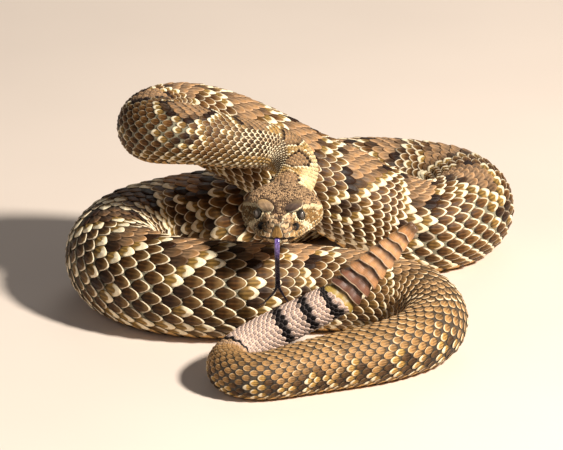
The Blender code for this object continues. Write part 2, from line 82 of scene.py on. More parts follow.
# Looks of the scales along the body, each with its distance from the rattle's root.
SCALE_SHAPES = (
    # distance, pitch as share of the radius, length over pitch, width over row space, how pointed
    (0.0, 0.285, 1.16, 1.34, 0.2),
    (62.0, 0.29, 1.12, 1.36, 0.0),
    (92.0, 0.375, 0.92, 1.22, 0.0),
    (185.0, 0.375, 0.94, 1.22, 0.1),
    (290.0, 0.315, 1.26, 1.32, 0.7),
    (480.0, 0.295, 1.36, 1.32, 1.0),
    (560.0, 0.265, 1.34, 1.32, 1.0),
    (760.0, 0.27, 1.32, 1.32, 1.0),
    (820.0, 0.29, 1.30, 1.32, 0.8),
    (905.0, 0.25, 1.26, 1.32, 0.5),
    (990.0, 0.205, 1.20, 1.30, 0.4),
)
PLATE_EDGE = 0.79        # share of half the girth at which the belly plates begin
PATCH = 0.0015           # half the size of each small piece's patch on the unwrap

HEAD_PROFILE = (
    # along, half width, crown, mouth, throat
    (0.0, 10.6, 8.4, -3.0, -11.8),
    (4.0, 12.4, 8.4, -3.4, -11.8),
    (9.0, 17.0, 8.6, -3.8, -11.7),
    (14.0, 20.0, 8.8, -4.4, -11.3),
    (19.0, 20.4, 8.8, -5.0, -10.9),
    (24.0, 19.0, 8.6, -5.4, -10.5),
    (29.0, 16.6, 8.4, -5.4, -10.1),
    (34.0, 14.4, 8.1, -5.0, -9.7),
    (39.0, 12.4, 7.2, -4.4, -9.2),
    (43.5, 10.5, 6.4, -3.7, -8.6),
    (47.0, 8.4, 5.7, -3.2, -7.9),
    (49.2, 5.8, 4.5, -3.0, -6.8),
    (50.1, 2.6, 2.3, -2.9, -5.0),
)
HEAD_BOX = 2.6           # how square the throat's section is: 2 would be an ellipse
HEAD_SHAPE = (
    # along, how much narrower the crown is than the lips, how square the upper section is
    (0.0, 0.0, 2.6),
    (22.0, 0.04, 2.6),
    (29.0, 0.14, 2.9),
    (34.0, 0.24, 3.6),
    (39.0, 0.36, 4.2),
    (43.5, 0.50, 4.2),
    (47.0, 0.60, 3.8),
    (49.2, 0.62, 3.2),
    (50.4, 0.60, 3.0),
)
HEAD_BLEND = 8.0         # over this length the neck's round section turns into the head's
JAW_BACK = 13.0          # where the mouth ends, from the back of the head
MOUTH_TURN = 0.54        # share of half the girth at which the line of the mouth runs
HALF_GIRTH = 50.0        # half the head's girth, as a round number for distances from the mouth's line
HEAD_COAT = 0.45         # how far the head's skin lies inside the solids
EYE_PLACE = (35.2, 10.1, 3.9)
EYE_RADIUS = 2.7
EYE_YAW = 32.0           # degrees that the eye looks forward from straight out
PIT_PLACE = (42.5, 8.7, 0.6)
NOSTRIL_PLACE = (46.0, 5.4, 3.3)
BROW_PLACE = (34.0, 8.2, 7.2)

# Plates over the eyes: middle along and across, how far they slant outwards, and half their length and width.
BROW_LINE = (33.6, 6.9, 0.34)
BROW_HALF = (6.3, 3.9)
BROW_TOP = 7.75

# Shields of the snout's front on the left side, seen from ahead.
FRONT_SHIELDS = (
    # across, height, half width, half height, 1 for lips and 4 for the face
    (2.75, 3.75, 0.95, 0.85, 4),
    (4.50, 2.95, 1.00, 1.00, 4),
    (3.95, 1.00, 1.15, 0.95, 4),
    (6.05, 1.15, 1.00, 0.95, 4),
    (4.75, -1.20, 1.30, 1.25, 1),
    (7.15, -1.35, 1.10, 1.15, 1),
    (3.60, -4.55, 1.35, 0.95, 2),
)

TONGUE_PATH = (
    # along the head, across, height, half width
    (45.4, 0.0, -3.0, 1.3),
    (48.5, 0.0, -3.0, 1.3),
    (51.0, 0.0, -4.4, 1.3),
    (51.6, 0.0, -9.0, 1.3),
    (50.6, 0.0, -18.0, 1.2),
    (49.2, 0.0, -26.0, 1.3),
    (48.2, 0.0, -30.5, 1.5),
)
TONGUE_TINES = (
    ((48.5, -0.6, -28.3, 0.75), (48.2, -0.75, -30.5, 0.75), (47.6, -2.6, -34.0, 0.6),
     (46.8, -6.6, -39.0, 0.42), (46.4, -10.0, -41.5, 0.22)),
    ((48.5, 0.6, -28.3, 0.75), (48.2, 0.75, -30.5, 0.75), (47.6, 2.6, -34.5, 0.6),
     (46.8, 5.8, -40.0, 0.42), (46.4, 9.0, -43.5, 0.22)),
)

RATTLE_SEGMENTS = (
    # length, half height, half thickness
    (5.4, 9.2, 6.6),
    (5.9, 9.4, 6.0),
    (6.2, 9.5, 5.8),
    (6.2, 9.1, 5.5),
    (6.1, 8.3, 5.2),
    (5.9, 7.5, 4.8),
    (5.7, 6.6, 4.4),
    (5.6, 5.5, 3.9),
    (6.0, 4.3, 3.3),
)


class Route:
    """Stations of the body's axis from the rattle to the head, as x, y, height, radius and roll."""

    def __init__(self):
        self.rows = []

    def at(self, x, y, radius, height=None, roll=0.0):
        """One station. Without a height the body rests on the floor."""
        if height is None:
            height = BELLY * radius
        self.rows.append((x, y, height, radius, roll))

    def turn(self, centre, reach, angles, radii, heights=None, count=5):
        """A round turn: reach is its half size along X and Y, angles run in degrees from +X to +Y."""
        for index in range(count):
            share = index / (count - 1)
            angle = math.radians(angles[0] + (angles[1] - angles[0]) * share)
            radius = radii[0] + (radii[1] - radii[0]) * share
            height = heights[0] + (heights[1] - heights[0]) * share if heights else None
            self.at(centre[0] + reach[0] * math.cos(angle), centre[1] + reach[1] * math.sin(angle), radius,
                    height)


def body_route():
    route = Route()
    # the tail, from the rattle's root down to the floor
    route.at(22.2, -85.6, 8.8, 36.0)
    route.at(4.2, -88.1, 9.3, 27.5)
    route.at(-12.8, -91.1, 9.8, 19.5)
    route.at(-25.0, -96.5, 10.3, 13.5)
    route.turn((-18.8, -110.8), (14.0, 16.5), (165, 270), (10.8, 11.7), None, 3)
    # the front length and the right turn
    route.at(-5.7, -124.2, 12.5)
    route.at(8.3, -117.8, 13.5)
    route.at(25.8, -110.6, 14.3)
    route.at(43.3, -102.5, 15.0)
    route.turn((47.3, -64.6), (22.5, 30.0), (-60, 80), (15.8, 19.5))
    # the length through the centre and the left turn
    route.at(28.3, -30.1, 20.8)
    route.at(4.8, -30.6, 22.3)
    route.at(-17.7, -36.3, 23.8)
    route.turn((-38.5, 9.4), (52.5, 49.0), (270, 115), (25.0, 25.5), None, 6)
    # the rear length and the far turn
    route.at(-36.8, 66.4, 25.5)
    route.at(-15.7, 85.4, 25.5)
    route.at(3.3, 100.6, 25.2)
    route.at(22.3, 112.5, 25.2)
    route.at(41.5, 117.3, 25.0)
    route.turn((60.2, 85.3), (31.0, 31.5), (80, -80), (24.2, 24.0))
    # the rise and the raised turn
    route.at(45.8, 54.4, 24.7, 29.0)
    route.at(25.8, 51.4, 24.2, 41.5, 14.0)
    route.at(3.3, 46.4, 23.2, 55.0, 22.0)
    route.at(-21.7, 43.4, 22.0, 71.0, 16.0)
    route.at(-42.5, 42.3, 20.8, 81.0, 6.0)
    route.turn((-50.3, 18.6), (22.0, 22.3), (110, 250), (19.3, 15.8), (86.0, 93.0))
    # the neck
    route.at(-46.0, -3.0, 14.7, 91.5)
    route.at(-29.2, -2.3, 13.2, 88.0)
    route.turn((-10.8, -11.6), (13.5, 13.5), (90, -35), (11.6, 10.0), (84.5, 72.5), 4)
    route.at(HEAD_BACK[0], HEAD_BACK[1], NECK_RADIUS, HEAD_BACK[2] - NECK_DROP)
    return route


def spline(rows, share_count=16):
    """A Catmull-Rom curve through the rows."""
    points = np.asarray(rows, float)
    last = len(points) - 1
    curve = []
    for index in range(last):
        before = points[max(index - 1, 0)]
        start = points[index]
        end = points[index + 1]
        after = points[min(index + 2, last)]
        for share in np.linspace(0.0, 1.0, share_count, endpoint=False):
            curve.append(0.5 * (2 * start + (end - before) * share
                                + (2 * before - 5 * start + 4 * end - after) * share ** 2
                                + (3 * start - before - 3 * end + after) * share ** 3))
    curve.append(points[-1])
    return np.array(curve)


def lengths_along(line):
    """How far along a line each of its points lies."""
    return np.concatenate(([0.0], np.cumsum(np.linalg.norm(np.diff(line, axis=0), axis=1))))


def looked_up(wanted, table):
    """The other columns of a table, read between its rows at places given in its first column."""
    table = np.asarray(table)
    return [np.interp(wanted, table[:, 0], column) for column in table[:, 1:].T]


def evenly(curve, step):
    """The same curve with points a constant step apart, and the distance of each along it."""
    along = lengths_along(curve[:, :3])
    wanted = np.linspace(0.0, along[-1], int(along[-1] / step) + 1)
    return np.stack(looked_up(wanted, np.column_stack([along, curve])), axis=1), wanted


def at_shares(line, shares):
    """Points of a line at shares of its length."""
    sizes = lengths_along(line)
    return np.stack(looked_up(shares, np.column_stack([sizes / sizes[-1], line])), axis=1)


def smoothed(curve, step, reach):
    """Each column averaged along the curve with a bell of the given reach, its two ends held."""
    half = int(3 * reach / step)
    bell = np.exp(-0.5 * (np.arange(-half, half + 1) * step / reach) ** 2)
    bell /= bell.sum()
    head = 2 * curve[0] - curve[half:0:-1]
    tail = 2 * curve[-1] - curve[-2:-half - 2:-1]
    longer = np.concatenate([head, curve, tail])
    return np.stack([np.convolve(column, bell, "valid") for column in longer.T], axis=1)


def eased(share):
    """Shares held between 0 and 1 that leave both ends gently."""
    share = np.clip(share, 0.0, 1.0)
    return share * share * (3 - 2 * share)


def between(value, low, high):
    """0 under low, 1 over high, and a gentle rise in between."""
    return eased((value - low) / (high - low))


def within(value, low, full, leaving, high):
    """1 inside a range and 0 outside it, with a gentle rise from low and a gentle fall to high."""
    return between(value, low, full) * (1 - between(value, leaving, high))


def bell(value):
    return np.exp(-value ** 2)


def unit(vectors):
    return vectors / np.linalg.norm(vectors, axis=-1, keepdims=True)


def mirrored(place):
    """Places along, across and up the head, brought over to its left side."""
    return np.stack([place[..., 0], np.abs(place[..., 1]), place[..., 2]], -1)


def from_spot(place, spot, sizes):
    """How far places lie from a spot, where 1 is the edge of a ball stretched to the given half sizes."""
    return np.sqrt((((place - spot) / sizes) ** 2).sum(-1))


def mixed(one, two, share):
    """Rows of one colour turned into rows of another by a share for each row."""
    share = np.asarray(share)[..., None]
    return one * (1 - share) + two * share


def to_metres(points):
    return (points + PLACE) * MM


class Sheet:
    """A closed tube kept as a table of points.

    The first number runs along it towards the head. The second goes round it, from -1 under the belly over
    0 at the middle of the back to 1, with the snake's right above 0.
    """

    def __init__(self, start, step, points):
        self.start = start
        self.step = step
        self.points = points
        self.rounds = points.shape[1] - 1
        along = np.gradient(points, axis=0)
        around = (np.roll(points[:, :-1], -1, axis=1) - np.roll(points[:, :-1], 1, axis=1)) * 0.5
        around = np.concatenate([around, around[:, :1]], axis=1)
        self.normals = unit(np.cross(around, along))
        self.stretch_along = np.linalg.norm(along, axis=-1, keepdims=True) / step
        self.stretch_around = np.linalg.norm(around, axis=-1, keepdims=True) * self.rounds * 0.5

    def look_up(self, table, along, around):
        row = np.clip((along - self.start) / self.step, 0, len(table) - 1.001)
        column = ((around + 1) % 2.0) * 0.5 * self.rounds
        first = row.astype(int)
        second = np.minimum(column.astype(int), self.rounds - 1)
        share_one = (row - first)[..., None]
        share_two = (column - second)[..., None]
        near = table[first, second] * (1 - share_two) + table[first, second + 1] * share_two
        far = table[first + 1, second] * (1 - share_two) + table[first + 1, second + 1] * share_two
        return near * (1 - share_one) + far * share_one

    def at(self, along, around, height=0.0):
        """Points at a height over the sheet."""
        spots = self.look_up(self.points, along, around)
        return spots + self.look_up(self.normals, along, around) * np.asarray(height)[..., None]


class Body:
    """The smooth route with a frame at each point, and the sheet of its outer surface."""

    BEFORE = 5.0             # the sheet runs on past the rattle's root and into the head by this much
    SHEET_STEP = 0.5
    SHEET_ROUNDS = 144

    def __init__(self):
        curve, _ = evenly(spline(body_route().rows), STEP)
        self.rows, self.along = evenly(smoothed(curve, STEP, SMOOTHING), STEP)
        self.length = self.along[-1]
        count = int((self.length + 2 * self.BEFORE) / self.SHEET_STEP) + 1
        distances = np.linspace(-self.BEFORE, self.length + self.BEFORE, count)
        spots, side, back, radius = self.frames(distances)
        angle = np.linspace(-math.pi, math.pi, self.SHEET_ROUNDS + 1)
        across = radius[:, None] * np.sin(angle)
        up = np.maximum(radius[:, None] * np.cos(angle), -BELLY * radius[:, None])
        points = spots[:, None] + side[:, None] * across[..., None] + back[:, None] * up[..., None]
        self.sheet = Sheet(-self.BEFORE, distances[1] - distances[0], points)

    def column(self, distance, index):
        return np.interp(distance, self.along, self.rows[:, index])

    def place(self, distance):
        """Points of the axis, carried straight on past both ends."""
        inside = np.clip(distance, 0.0, self.length)
        spots = np.stack([self.column(inside, index) for index in range(3)], axis=-1)
        spots += np.minimum(distance, 0.0)[:, None] * unit(self.rows[0, :3] - RATTLE_TIP)
        return spots + np.maximum(distance - self.length, 0.0)[:, None] * unit(SNOUT_TIP - HEAD_BACK)

    def frames(self, distance):
        """Points, side and back directions and radii at distances from the rattle."""
        reach = 0.5 * STEP
        run = unit(self.place(distance + reach) - self.place(distance - reach))
        for facing, share in ((SNOUT_TIP - HEAD_BACK, 1 - (self.length - distance) / NAPE),
                              (self.rows[0, :3] - RATTLE_TIP, 1 - distance / RATTLE_ROOT)):
            share = eased(share)[:, None]
            run = unit(run * (1 - share) + unit(facing) * share)
        side = unit(np.cross(run, (0.0, 0.0, 1.0)))
        back = np.cross(side, run)
        roll = np.radians(self.column(distance, 4))[:, None]
        turned_side = side * np.cos(roll) + back * np.sin(roll)
        turned_back = back * np.cos(roll) - side * np.sin(roll)
        return self.place(distance), turned_side, turned_back, self.radius(distance)

    def radius(self, distance):
        return self.column(distance, 3)


def coat_depth(radius):
    """How far the skin lies inside the solids, which is as thick as the scales over it."""
    return 0.1 + 0.035 * radius


class Head:
    """The head's own axes and the sheet of its outer surface, with the folds of the face."""

    SHEET_STEP = 0.18
    SHEET_ROUNDS = 384
    END = 50.4               # where the snout closes
    ROUNDING = 49.4          # where it starts to round off
    BLUNT = 0.01             # square of the share of the section's size that is left there
    FRONT = 44.0             # the snout's front lies beyond this

    def __init__(self):
        self.run = unit(SNOUT_TIP - HEAD_BACK)
        self.side = unit(np.cross((0.0, 0.0, 1.0), self.run))
        self.up = np.cross(self.run, self.side)
        self.profile = spline(HEAD_PROFILE, 12)
        shaped = self.shaped(self.sections())
        self.local = Sheet(0.0, self.SHEET_STEP, shaped)
        self.sheet = Sheet(0.0, self.SHEET_STEP, self.spot(shaped))

    def spot(self, place):
        """Points given along, across to the snake's left and up the head, in the route's axes."""
        place = np.asarray(place, float)
        return (HEAD_BACK + place[..., 0:1] * self.run + place[..., 1:2] * self.side
                + place[..., 2:3] * self.up)

    def outline(self, along):
        """Half width, crown, mouth, throat, taper and squareness of the sections at distances along."""
        width, crown, mouth, throat = looked_up(along, self.profile)
        taper, box = looked_up(along, HEAD_SHAPE)
        closing = np.maximum(0.0, (along - self.ROUNDING) / (self.END - self.ROUNDING))
        end = np.sqrt(np.maximum(self.BLUNT, 1 - closing ** 2))
        return width * end, mouth + (crown - mouth) * end, mouth, mouth + (throat - mouth) * end, taper, box

    def sections(self):
        """The plain sections, with the line of the mouth always the same share of the way round."""
        turns = np.linspace(0.0, 1.0, self.SHEET_ROUNDS // 2 + 1)
        above = turns <= MOUTH_TURN
        quarter = 0.5 * math.pi * np.linspace(0.0, 1.0, 160) ** 1.3
        neck_up = np.maximum(NECK_RADIUS * np.cos(turns * math.pi), -BELLY * NECK_RADIUS) - NECK_DROP
        neck = np.stack([NECK_RADIUS * np.sin(turns * math.pi), neck_up], 1)
        rows = []
        for along in np.arange(int(self.END / self.SHEET_STEP) + 1) * self.SHEET_STEP:
            width, crown, mouth, throat, taper, box = self.outline(along)
            up = np.cos(quarter) ** (2.0 / box)
            upper = np.stack([width * (1 - taper * up) * np.sin(quarter) ** (2.0 / box),
                              mouth + (crown - mouth) * up], 1)
            lower = np.stack([width * np.cos(quarter) ** (2.0 / HEAD_BOX),
                              mouth + (throat - mouth) * np.sin(quarter) ** (2.0 / HEAD_BOX)], 1)
            below = (turns[~above] - MOUTH_TURN) / (1.0 - MOUTH_TURN)
            ring = np.concatenate([at_shares(upper, turns[above] / MOUTH_TURN), at_shares(lower, below)])
            share = float(eased(along / HEAD_BLEND))
            ring = neck * (1 - share) + ring * share
            whole = np.concatenate([ring[::-1], ring[1:] * (-1.0, 1.0)])
            rows.append(np.column_stack([np.full(len(whole), along), whole]))
        return np.array(rows)

    def shaped(self, base):
        """The sections with brows, sockets, pits, nostrils, mouth and chin pressed into them."""
        normals = Sheet(0.0, self.SHEET_STEP, base).normals
        along = base[..., 0]
        turn = np.abs(np.linspace(-1.0, 1.0, self.SHEET_ROUNDS + 1))[None, :]
        left = mirrored(base)
        # brows, the hollow between them, and sockets with their rims
        eye = from_spot(left, EYE_PLACE, (3.1, 4.4, 2.9))
        move = 1.0 * bell(from_spot(left, BROW_PLACE, (6.4, 3.6, 2.4)))
        move -= 0.7 * bell(from_spot(left, (32.0, 0.0, 8.2), (9.0, 3.6, 2.0)))
        move += 0.35 * bell((eye - 1.16) / 0.15)
        move -= 2.3 * (1 - between(eye, 0.45, 1.0))
        # the hollows before the eyes, pits and nostrils with their rims
        pit = from_spot(left, PIT_PLACE, (2.5, 4.0, 1.5))
        move -= 0.5 * bell(from_spot(left, (40.0, 9.6, 3.0), (3.2, 3.0, 1.9)))
        move -= 3.0 * (1 - between(pit, 0.4, 1.0))
        move += 0.25 * bell((pit - 1.25) / 0.25)
        move -= 1.9 * (1 - between(from_spot(left, NOSTRIL_PLACE, (0.95, 2.0, 1.1)), 0.3, 1.0))
        move += 0.3 * bell((from_spot(left, NOSTRIL_PLACE, (0.75, 2.0, 0.95)) - 1.6) / 0.4)
        # the swollen jaws and the hollows before them
        move += 0.6 * bell(from_spot(left, (20.0, 13.5, 5.5), (7.0, 4.5, 4.0)))
        move -= 0.5 * bell(from_spot(left, (26.5, 14.0, 0.0), (4.0, 4.0, 3.0)))
        # the line of the mouth, the lower lips under it and the groove of the chin
        open_length = between(along, JAW_BACK, JAW_BACK + 3.0)
        from_mouth = (turn - MOUTH_TURN) * HALF_GIRTH
        move -= 0.75 * bell(from_mouth / 0.55) * open_length
        move -= 0.75 * between(from_mouth, 0.3, 1.6) * open_length
        move -= 0.35 * bell(base[..., 1] / 0.5) * between(turn, 0.8, 0.9) * between(along, 24.0, 32.0)
        shaped = base + normals * move[..., None]
        # the chin set back behind the snout, and the notch for the tongue
        chin = between(from_mouth, 0.0, 2.0) * between(along, 43.0, 49.5)
        shaped[..., 0] -= 1.8 * chin
        notch = np.exp(-(base[..., 1] / 1.5) ** 2 - ((base[..., 2] + 3.0) / 0.9) ** 2)
        shaped[..., 0] -= 1.2 * (notch * between(along, 46.0, 49.4))
        return shaped

    def front(self, across, height):
        """How far forward the plain snout reaches at places given across and up the head."""
        along = np.linspace(self.FRONT, self.END, 120)
        width, crown, mouth, throat, taper, box = self.outline(along)
        height = np.asarray(height)[..., None]
        up = np.clip((height - mouth) / (crown - mouth), 0.0, 1.0)
        down = np.clip((mouth - height) / (mouth - throat), 0.0, 1.0)
        half = np.where(height > mouth, width * (1 - taper * up) * (1 - up ** box) ** (1 / box),
                        width * (1 - down ** HEAD_BOX) ** (1 / HEAD_BOX))
        inside = half > np.abs(np.asarray(across))[..., None]
        return np.where(inside, along, self.FRONT).max(-1)

    def turn_at(self, along, height=None, across=None):
        """How far round the head's left side lies at a height, or on the crown at a distance across."""
        turns = np.linspace(0.0, 0.62, 400)
        places = self.local.at(np.full(len(turns), float(along)), -turns)
        if height is None:
            wide = np.maximum.accumulate(places[:, 1])
            return float(np.interp(across, wide, turns))
        falling = np.minimum.accumulate(places[:, 2])
        return float(np.interp(-height, -falling, turns))


def points_of(mesh):
    """The points of a mesh as rows."""
    points = np.zeros(len(mesh.vertices) * 3)
    mesh.vertices.foreach_get("co", points)
    return points.reshape(-1, 3)


def set_points(mesh, points):
    """Puts the points of a mesh at places in the route's millimetres."""
    mesh.vertices.foreach_set("co", to_metres(points).astype(np.float32).ravel())


def corners_of(mesh):
    """The number of the point at each corner of the faces."""
    corners = np.zeros(len(mesh.loops), int)
    mesh.loops.foreach_get("vertex_index", corners)
    return corners


def face_starts(sizes):
    return np.concatenate(([0], np.cumsum(sizes)[:-1]))


class Template:
    """One small piece as arrays: x across, y towards its tip, ring from 0 at its middle to 1 at its edge.

    Tone is its own map and patch its place on the unwrap, both with one row for each corner of its faces.
    """

    def __init__(self, item):
        mesh = item.data
        places = points_of(mesh)
        self.x = places[:, 0]
        self.y = places[:, 1]
        self.ring = np.hypot(self.x, self.y)
        self.under = places[:, 2] < -0.5
        self.count = len(places)
        self.loops = corners_of(mesh)
        self.sizes = np.array([face.loop_total for face in mesh.polygons])
        under = self.under[self.loops]
        all_under = np.repeat(np.logical_and.reduceat(under, face_starts(self.sizes)), self.sizes)
        flat = places[self.loops, :2]
        self.tone = 0.5 + 0.5 * flat * np.where(under, 1.2, 1.0)[:, None]
        patch = np.where(under[:, None], flat, flat * 0.8)
        self.patch = np.where(all_under[:, None], flat * 0.55 + (1.75, 0.0), patch)
        bpy.data.objects.remove(item, do_unlink=True)
        bpy.data.meshes.remove(mesh)


def start_clean():
    """Leaves edit mode and deselects everything."""
    if bpy.context.object and bpy.context.object.mode != "OBJECT":
        bpy.ops.object.mode_set(mode="OBJECT")
    bpy.ops.object.select_all(action="DESELECT")


def close_underneath():
    """Turns the open edge of the mesh in edit mode down and closes it with one face."""
    bpy.ops.mesh.select_mode(type="EDGE")
    bpy.ops.mesh.select_all(action="DESELECT")
    bpy.ops.mesh.select_non_manifold()
    bpy.ops.mesh.extrude_edges_move(TRANSFORM_OT_translate={"value": (0.0, 0.0, -1.0)})
    bpy.ops.mesh.edge_face_add()
    bpy.ops.mesh.select_all(action="SELECT")
    bpy.ops.mesh.normals_make_consistent(inside=False)
    bpy.ops.object.mode_set(mode="OBJECT")


def round_template(points, insets):
    """A round button with rings inside its edge and a middle point, which becomes a scale or a shield."""
    start_clean()
    bpy.ops.mesh.primitive_circle_add(vertices=points, radius=1.0, fill_type="NGON")
    bpy.ops.object.mode_set(mode="EDIT")
    bpy.ops.mesh.select_mode(type="FACE")
    bpy.ops.mesh.select_all(action="SELECT")
    for inset in insets:
        bpy.ops.mesh.inset(thickness=inset)
    bpy.ops.mesh.poke()
    close_underneath()
    return Template(bpy.context.object)


def plate_template():
    """A wide flat tile, which becomes a plate of the belly."""
    start_clean()
    bpy.ops.mesh.primitive_grid_add(x_subdivisions=14, y_subdivisions=4, size=2.0)
    bpy.ops.object.mode_set(mode="EDIT")
    close_underneath()
    return Template(bpy.context.object)


class Pieces:
    """Small pieces that wait to be wrapped over a sheet, as arrays with one entry for each."""

    def __init__(self, **columns):
        count = max(len(np.atleast_1d(value)) for value in columns.values())
        self.columns = {}
        for name, value in columns.items():
            value = np.asarray(value, float)
            if value.ndim == 0:
                value = np.full(count, float(value))
            self.columns[name] = value

    def __getattr__(self, name):
        return self.columns[name]

    def __len__(self):
        return len(self.columns["along"])

    def chosen(self, mask):
        made = Pieces.__new__(Pieces)
        made.columns = {name: value[mask] for name, value in self.columns.items()}
        return made


def wrapped(sheet, template, pieces, profile, outline):
    """Points of one copy of the template for each piece, bent over the sheet, its tip towards the tail."""
    x, y = outline(template, pieces)
    across = x * pieces.width[:, None]
    tipward = y * pieces.length[:, None]
    turn = pieces.turn[:, None]
    along_move = tipward * np.cos(turn) - across * np.sin(turn)
    around_move = across * np.cos(turn) + tipward * np.sin(turn)
    stretch_along = sheet.look_up(sheet.stretch_along, pieces.along, pieces.around)
    stretch_around = sheet.look_up(sheet.stretch_around, pieces.along, pieces.around)
    along = pieces.along[:, None] - along_move / stretch_along
    around = pieces.around[:, None] - around_move / stretch_around
    height = profile(template)[None, :] * pieces.rise[:, None] - pieces.depth[:, None]
    return sheet.at(along, around, height)


def egg(template, pieces):
    """The outline of a scale: rounded, or drawn to a leaf's point at its tip."""
    point = pieces.point[:, None]
    x = template.x[None, :]
    y = template.y[None, :]
    narrow = 1.0 - (0.04 + 0.08 * point) * y - (0.02 + 0.12 * point) * y * y
    return x * narrow, y + (0.02 + 0.12 * point) * np.maximum(y, 0.0) ** 4


def tile(template, pieces):
    """The outline of a shield: a rounded square."""
    angle = np.arctan2(template.y, template.x)
    power = 3.2
    swell = 1.0 / (np.abs(np.cos(angle)) ** power + np.abs(np.sin(angle)) ** power) ** (1.0 / power)
    swell = 1.0 + (swell - 1.0) * template.ring
    return (template.x * swell)[None, :], (template.y * swell)[None, :]


def plain(template, pieces):
    """The outline of a belly plate as it was modelled."""
    return template.x[None, :], template.y[None, :]


def scale_profile(keel):
    """Heights of a scale over its skin: low at the root, lifted and thin at the tip, with a keel."""
    def profile(template):
        rise = 0.10 + 0.74 * between(template.y, -1.0, 0.9)
        rise = rise - 0.22 * template.x ** 2 * (1 - 0.3 * template.y)
        rise = rise - 0.16 * (template.ring > 0.95)
        ridge = bell(template.x / 0.12) * between(template.y, -0.95, -0.5) * (template.ring < 0.9)
        rise = rise + keel * ridge
        return np.where(template.under, rise - 0.30, rise)
    return profile


def shield_profile(template):
    """Heights of a shield over its skin: nearly flat, with a rounded edge sunk into the skin."""
    rise = 1.0 - 0.25 * np.minimum(template.ring, 1.0) ** 2 - 0.30 * (template.ring > 0.95)
    return np.where(template.under, -0.5, rise)


def plate_profile(template):
    """Heights of a belly plate: its edge towards the tail laps over the next plate."""
    rise = 0.12 + 0.80 * between(template.y, -1.0, 0.9) - 0.10 * (template.y > 0.9)
    rise = rise - 0.25 * np.abs(template.x) ** 6
    return np.where(template.under, rise - 0.32, rise)


def give_material(item, material):
    """Gives an object its one material and smooth shading."""
    item.data.materials.append(material)
    item.data.polygons.foreach_set("use_smooth", np.ones(len(item.data.polygons), bool))


def new_object(name, data):
    """A new object in the scene."""
    item = bpy.data.objects.new(name, data)
    bpy.context.scene.collection.objects.link(item)
    return item


def new_mesh(name, points, loops, sizes):
    """An object from points in the route's millimetres, the corners of all faces, and corners per face."""
    mesh = bpy.data.meshes.new(name)
    mesh.vertices.add(len(points))
    set_points(mesh, points)
    mesh.loops.add(len(loops))
    mesh.loops.foreach_set("vertex_index", loops.astype(np.int32))
    mesh.polygons.add(len(sizes))
    mesh.polygons.foreach_set("loop_start", face_starts(sizes).astype(np.int32))
    mesh.polygons.foreach_set("loop_total", sizes.astype(np.int32))
    mesh.update(calc_edges=True)
    mesh.validate()
    return new_object(name, mesh)


def add_colour(item, name, colours):
    """Stores a colour for each point, with a fourth value beside it where there is one."""
    if colours.shape[1] == 3:
        colours = np.column_stack([colours, np.ones(len(colours))])
    colours = np.clip(colours, 0.0, 1.0)
    layer = item.data.color_attributes.new(name, "FLOAT_COLOR", "POINT")
    layer.data.foreach_set("color", colours.astype(np.float32).ravel())


def add_value(item, name, values):
    layer = item.data.attributes.new(name, "FLOAT", "POINT")
    layer.data.foreach_set("value", np.asarray(values, np.float32).ravel())


def add_map(item, name, places):
    layer = item.data.uv_layers.new(name=name)
    layer.data.foreach_set("uv", np.asarray(places, np.float32).ravel())


def coat(name, template, points, places, middle, rim, material):
    """Joins wrapped copies into one object, with a map over each copy and a patch of the unwrap for it."""
    count = len(points)
    loops = (template.loops[None, :] + template.count * np.arange(count)[:, None]).ravel()
    item = new_mesh(name, points.reshape(-1, 3), loops, np.tile(template.sizes, count))
    add_map(item, "Scale", np.tile(template.tone, (count, 1)))
    patches = places[:, None, :] + template.patch[None, :, :] * PATCH
    add_map(item, "OFBake", patches.reshape(-1, 2))
    add_colour(item, "Middle", np.repeat(middle, template.count, axis=0))
    add_colour(item, "Rim", np.repeat(rim, template.count, axis=0))
    give_material(item, material)
    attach(item, BODY)
    return item


def unwrapped(along, around, low, high):
    """The place of roots on an unwrap of the skin between two distances, inside the unit square."""
    return np.stack([0.02 + 0.955 * (along - low) / (high - low), 0.02 + 0.96 * (around * 0.5 + 0.5)], 1)


class Rows:
    """The lattice of body scales: rows that run along the body, each second one set back by half a scale."""

    SHIFT = 90.0             # length over which rows past an ending row slip by half a scale
    FADE = 26.0              # length over which the rows close up round an ending row
    NARROWED = 0.55          # how much narrower the scales of an ending row get
    LAST = 0.62              # share of that length at which its last scale lies

    def __init__(self, body):
        self.body = body
        self.distance = np.arange(-1.0, body.length + 1.5, 0.5)
        self.pitch = scale_shape(self.distance, 1) * body.radius(self.distance)
        self.count = np.concatenate(([0.0], np.cumsum(0.5 / self.pitch[1:])))

    def row(self, number):
        """Distances of the scales of a row, its place round the body, and half the space between rows."""
        place = np.full(len(self.distance), float(number))
        total = np.full(len(self.distance), float(ROWS))
        phase = np.full(len(self.distance), 0.5 * (number % 2))
        first = -1.0
        narrow = np.ones(len(self.distance))
        for end, gone in ROW_ENDS:
            closing = eased((end - self.distance) / self.FADE)
            total -= closing
            if number > gone:
                place -= closing
                phase += 0.5 * eased((end - self.distance) / self.SHIFT)
            elif number == gone:
                place -= 0.5 * closing
                narrow = 1 - self.NARROWED * closing
                first = end - self.LAST * self.FADE
        order = self.count + phase
        wanted = np.arange(math.ceil(order[0]), math.floor(order[-1]) + 1)
        found = np.interp(wanted, order, self.distance)
        found = found[(found > first) & (found < self.body.length + 0.6)]
        spacing = PLATE_EDGE / (total + 0.5)
        columns = (place * spacing, 0.5 * spacing * narrow, self.pitch)
        return [found] + [np.interp(found, self.distance, column) for column in columns]


def scale_shape(distance, column):
    """One column of the scales' looks at distances from the rattle's root."""
    table = np.array(SCALE_SHAPES)
    return np.interp(distance, table[:, 0], table[:, column])


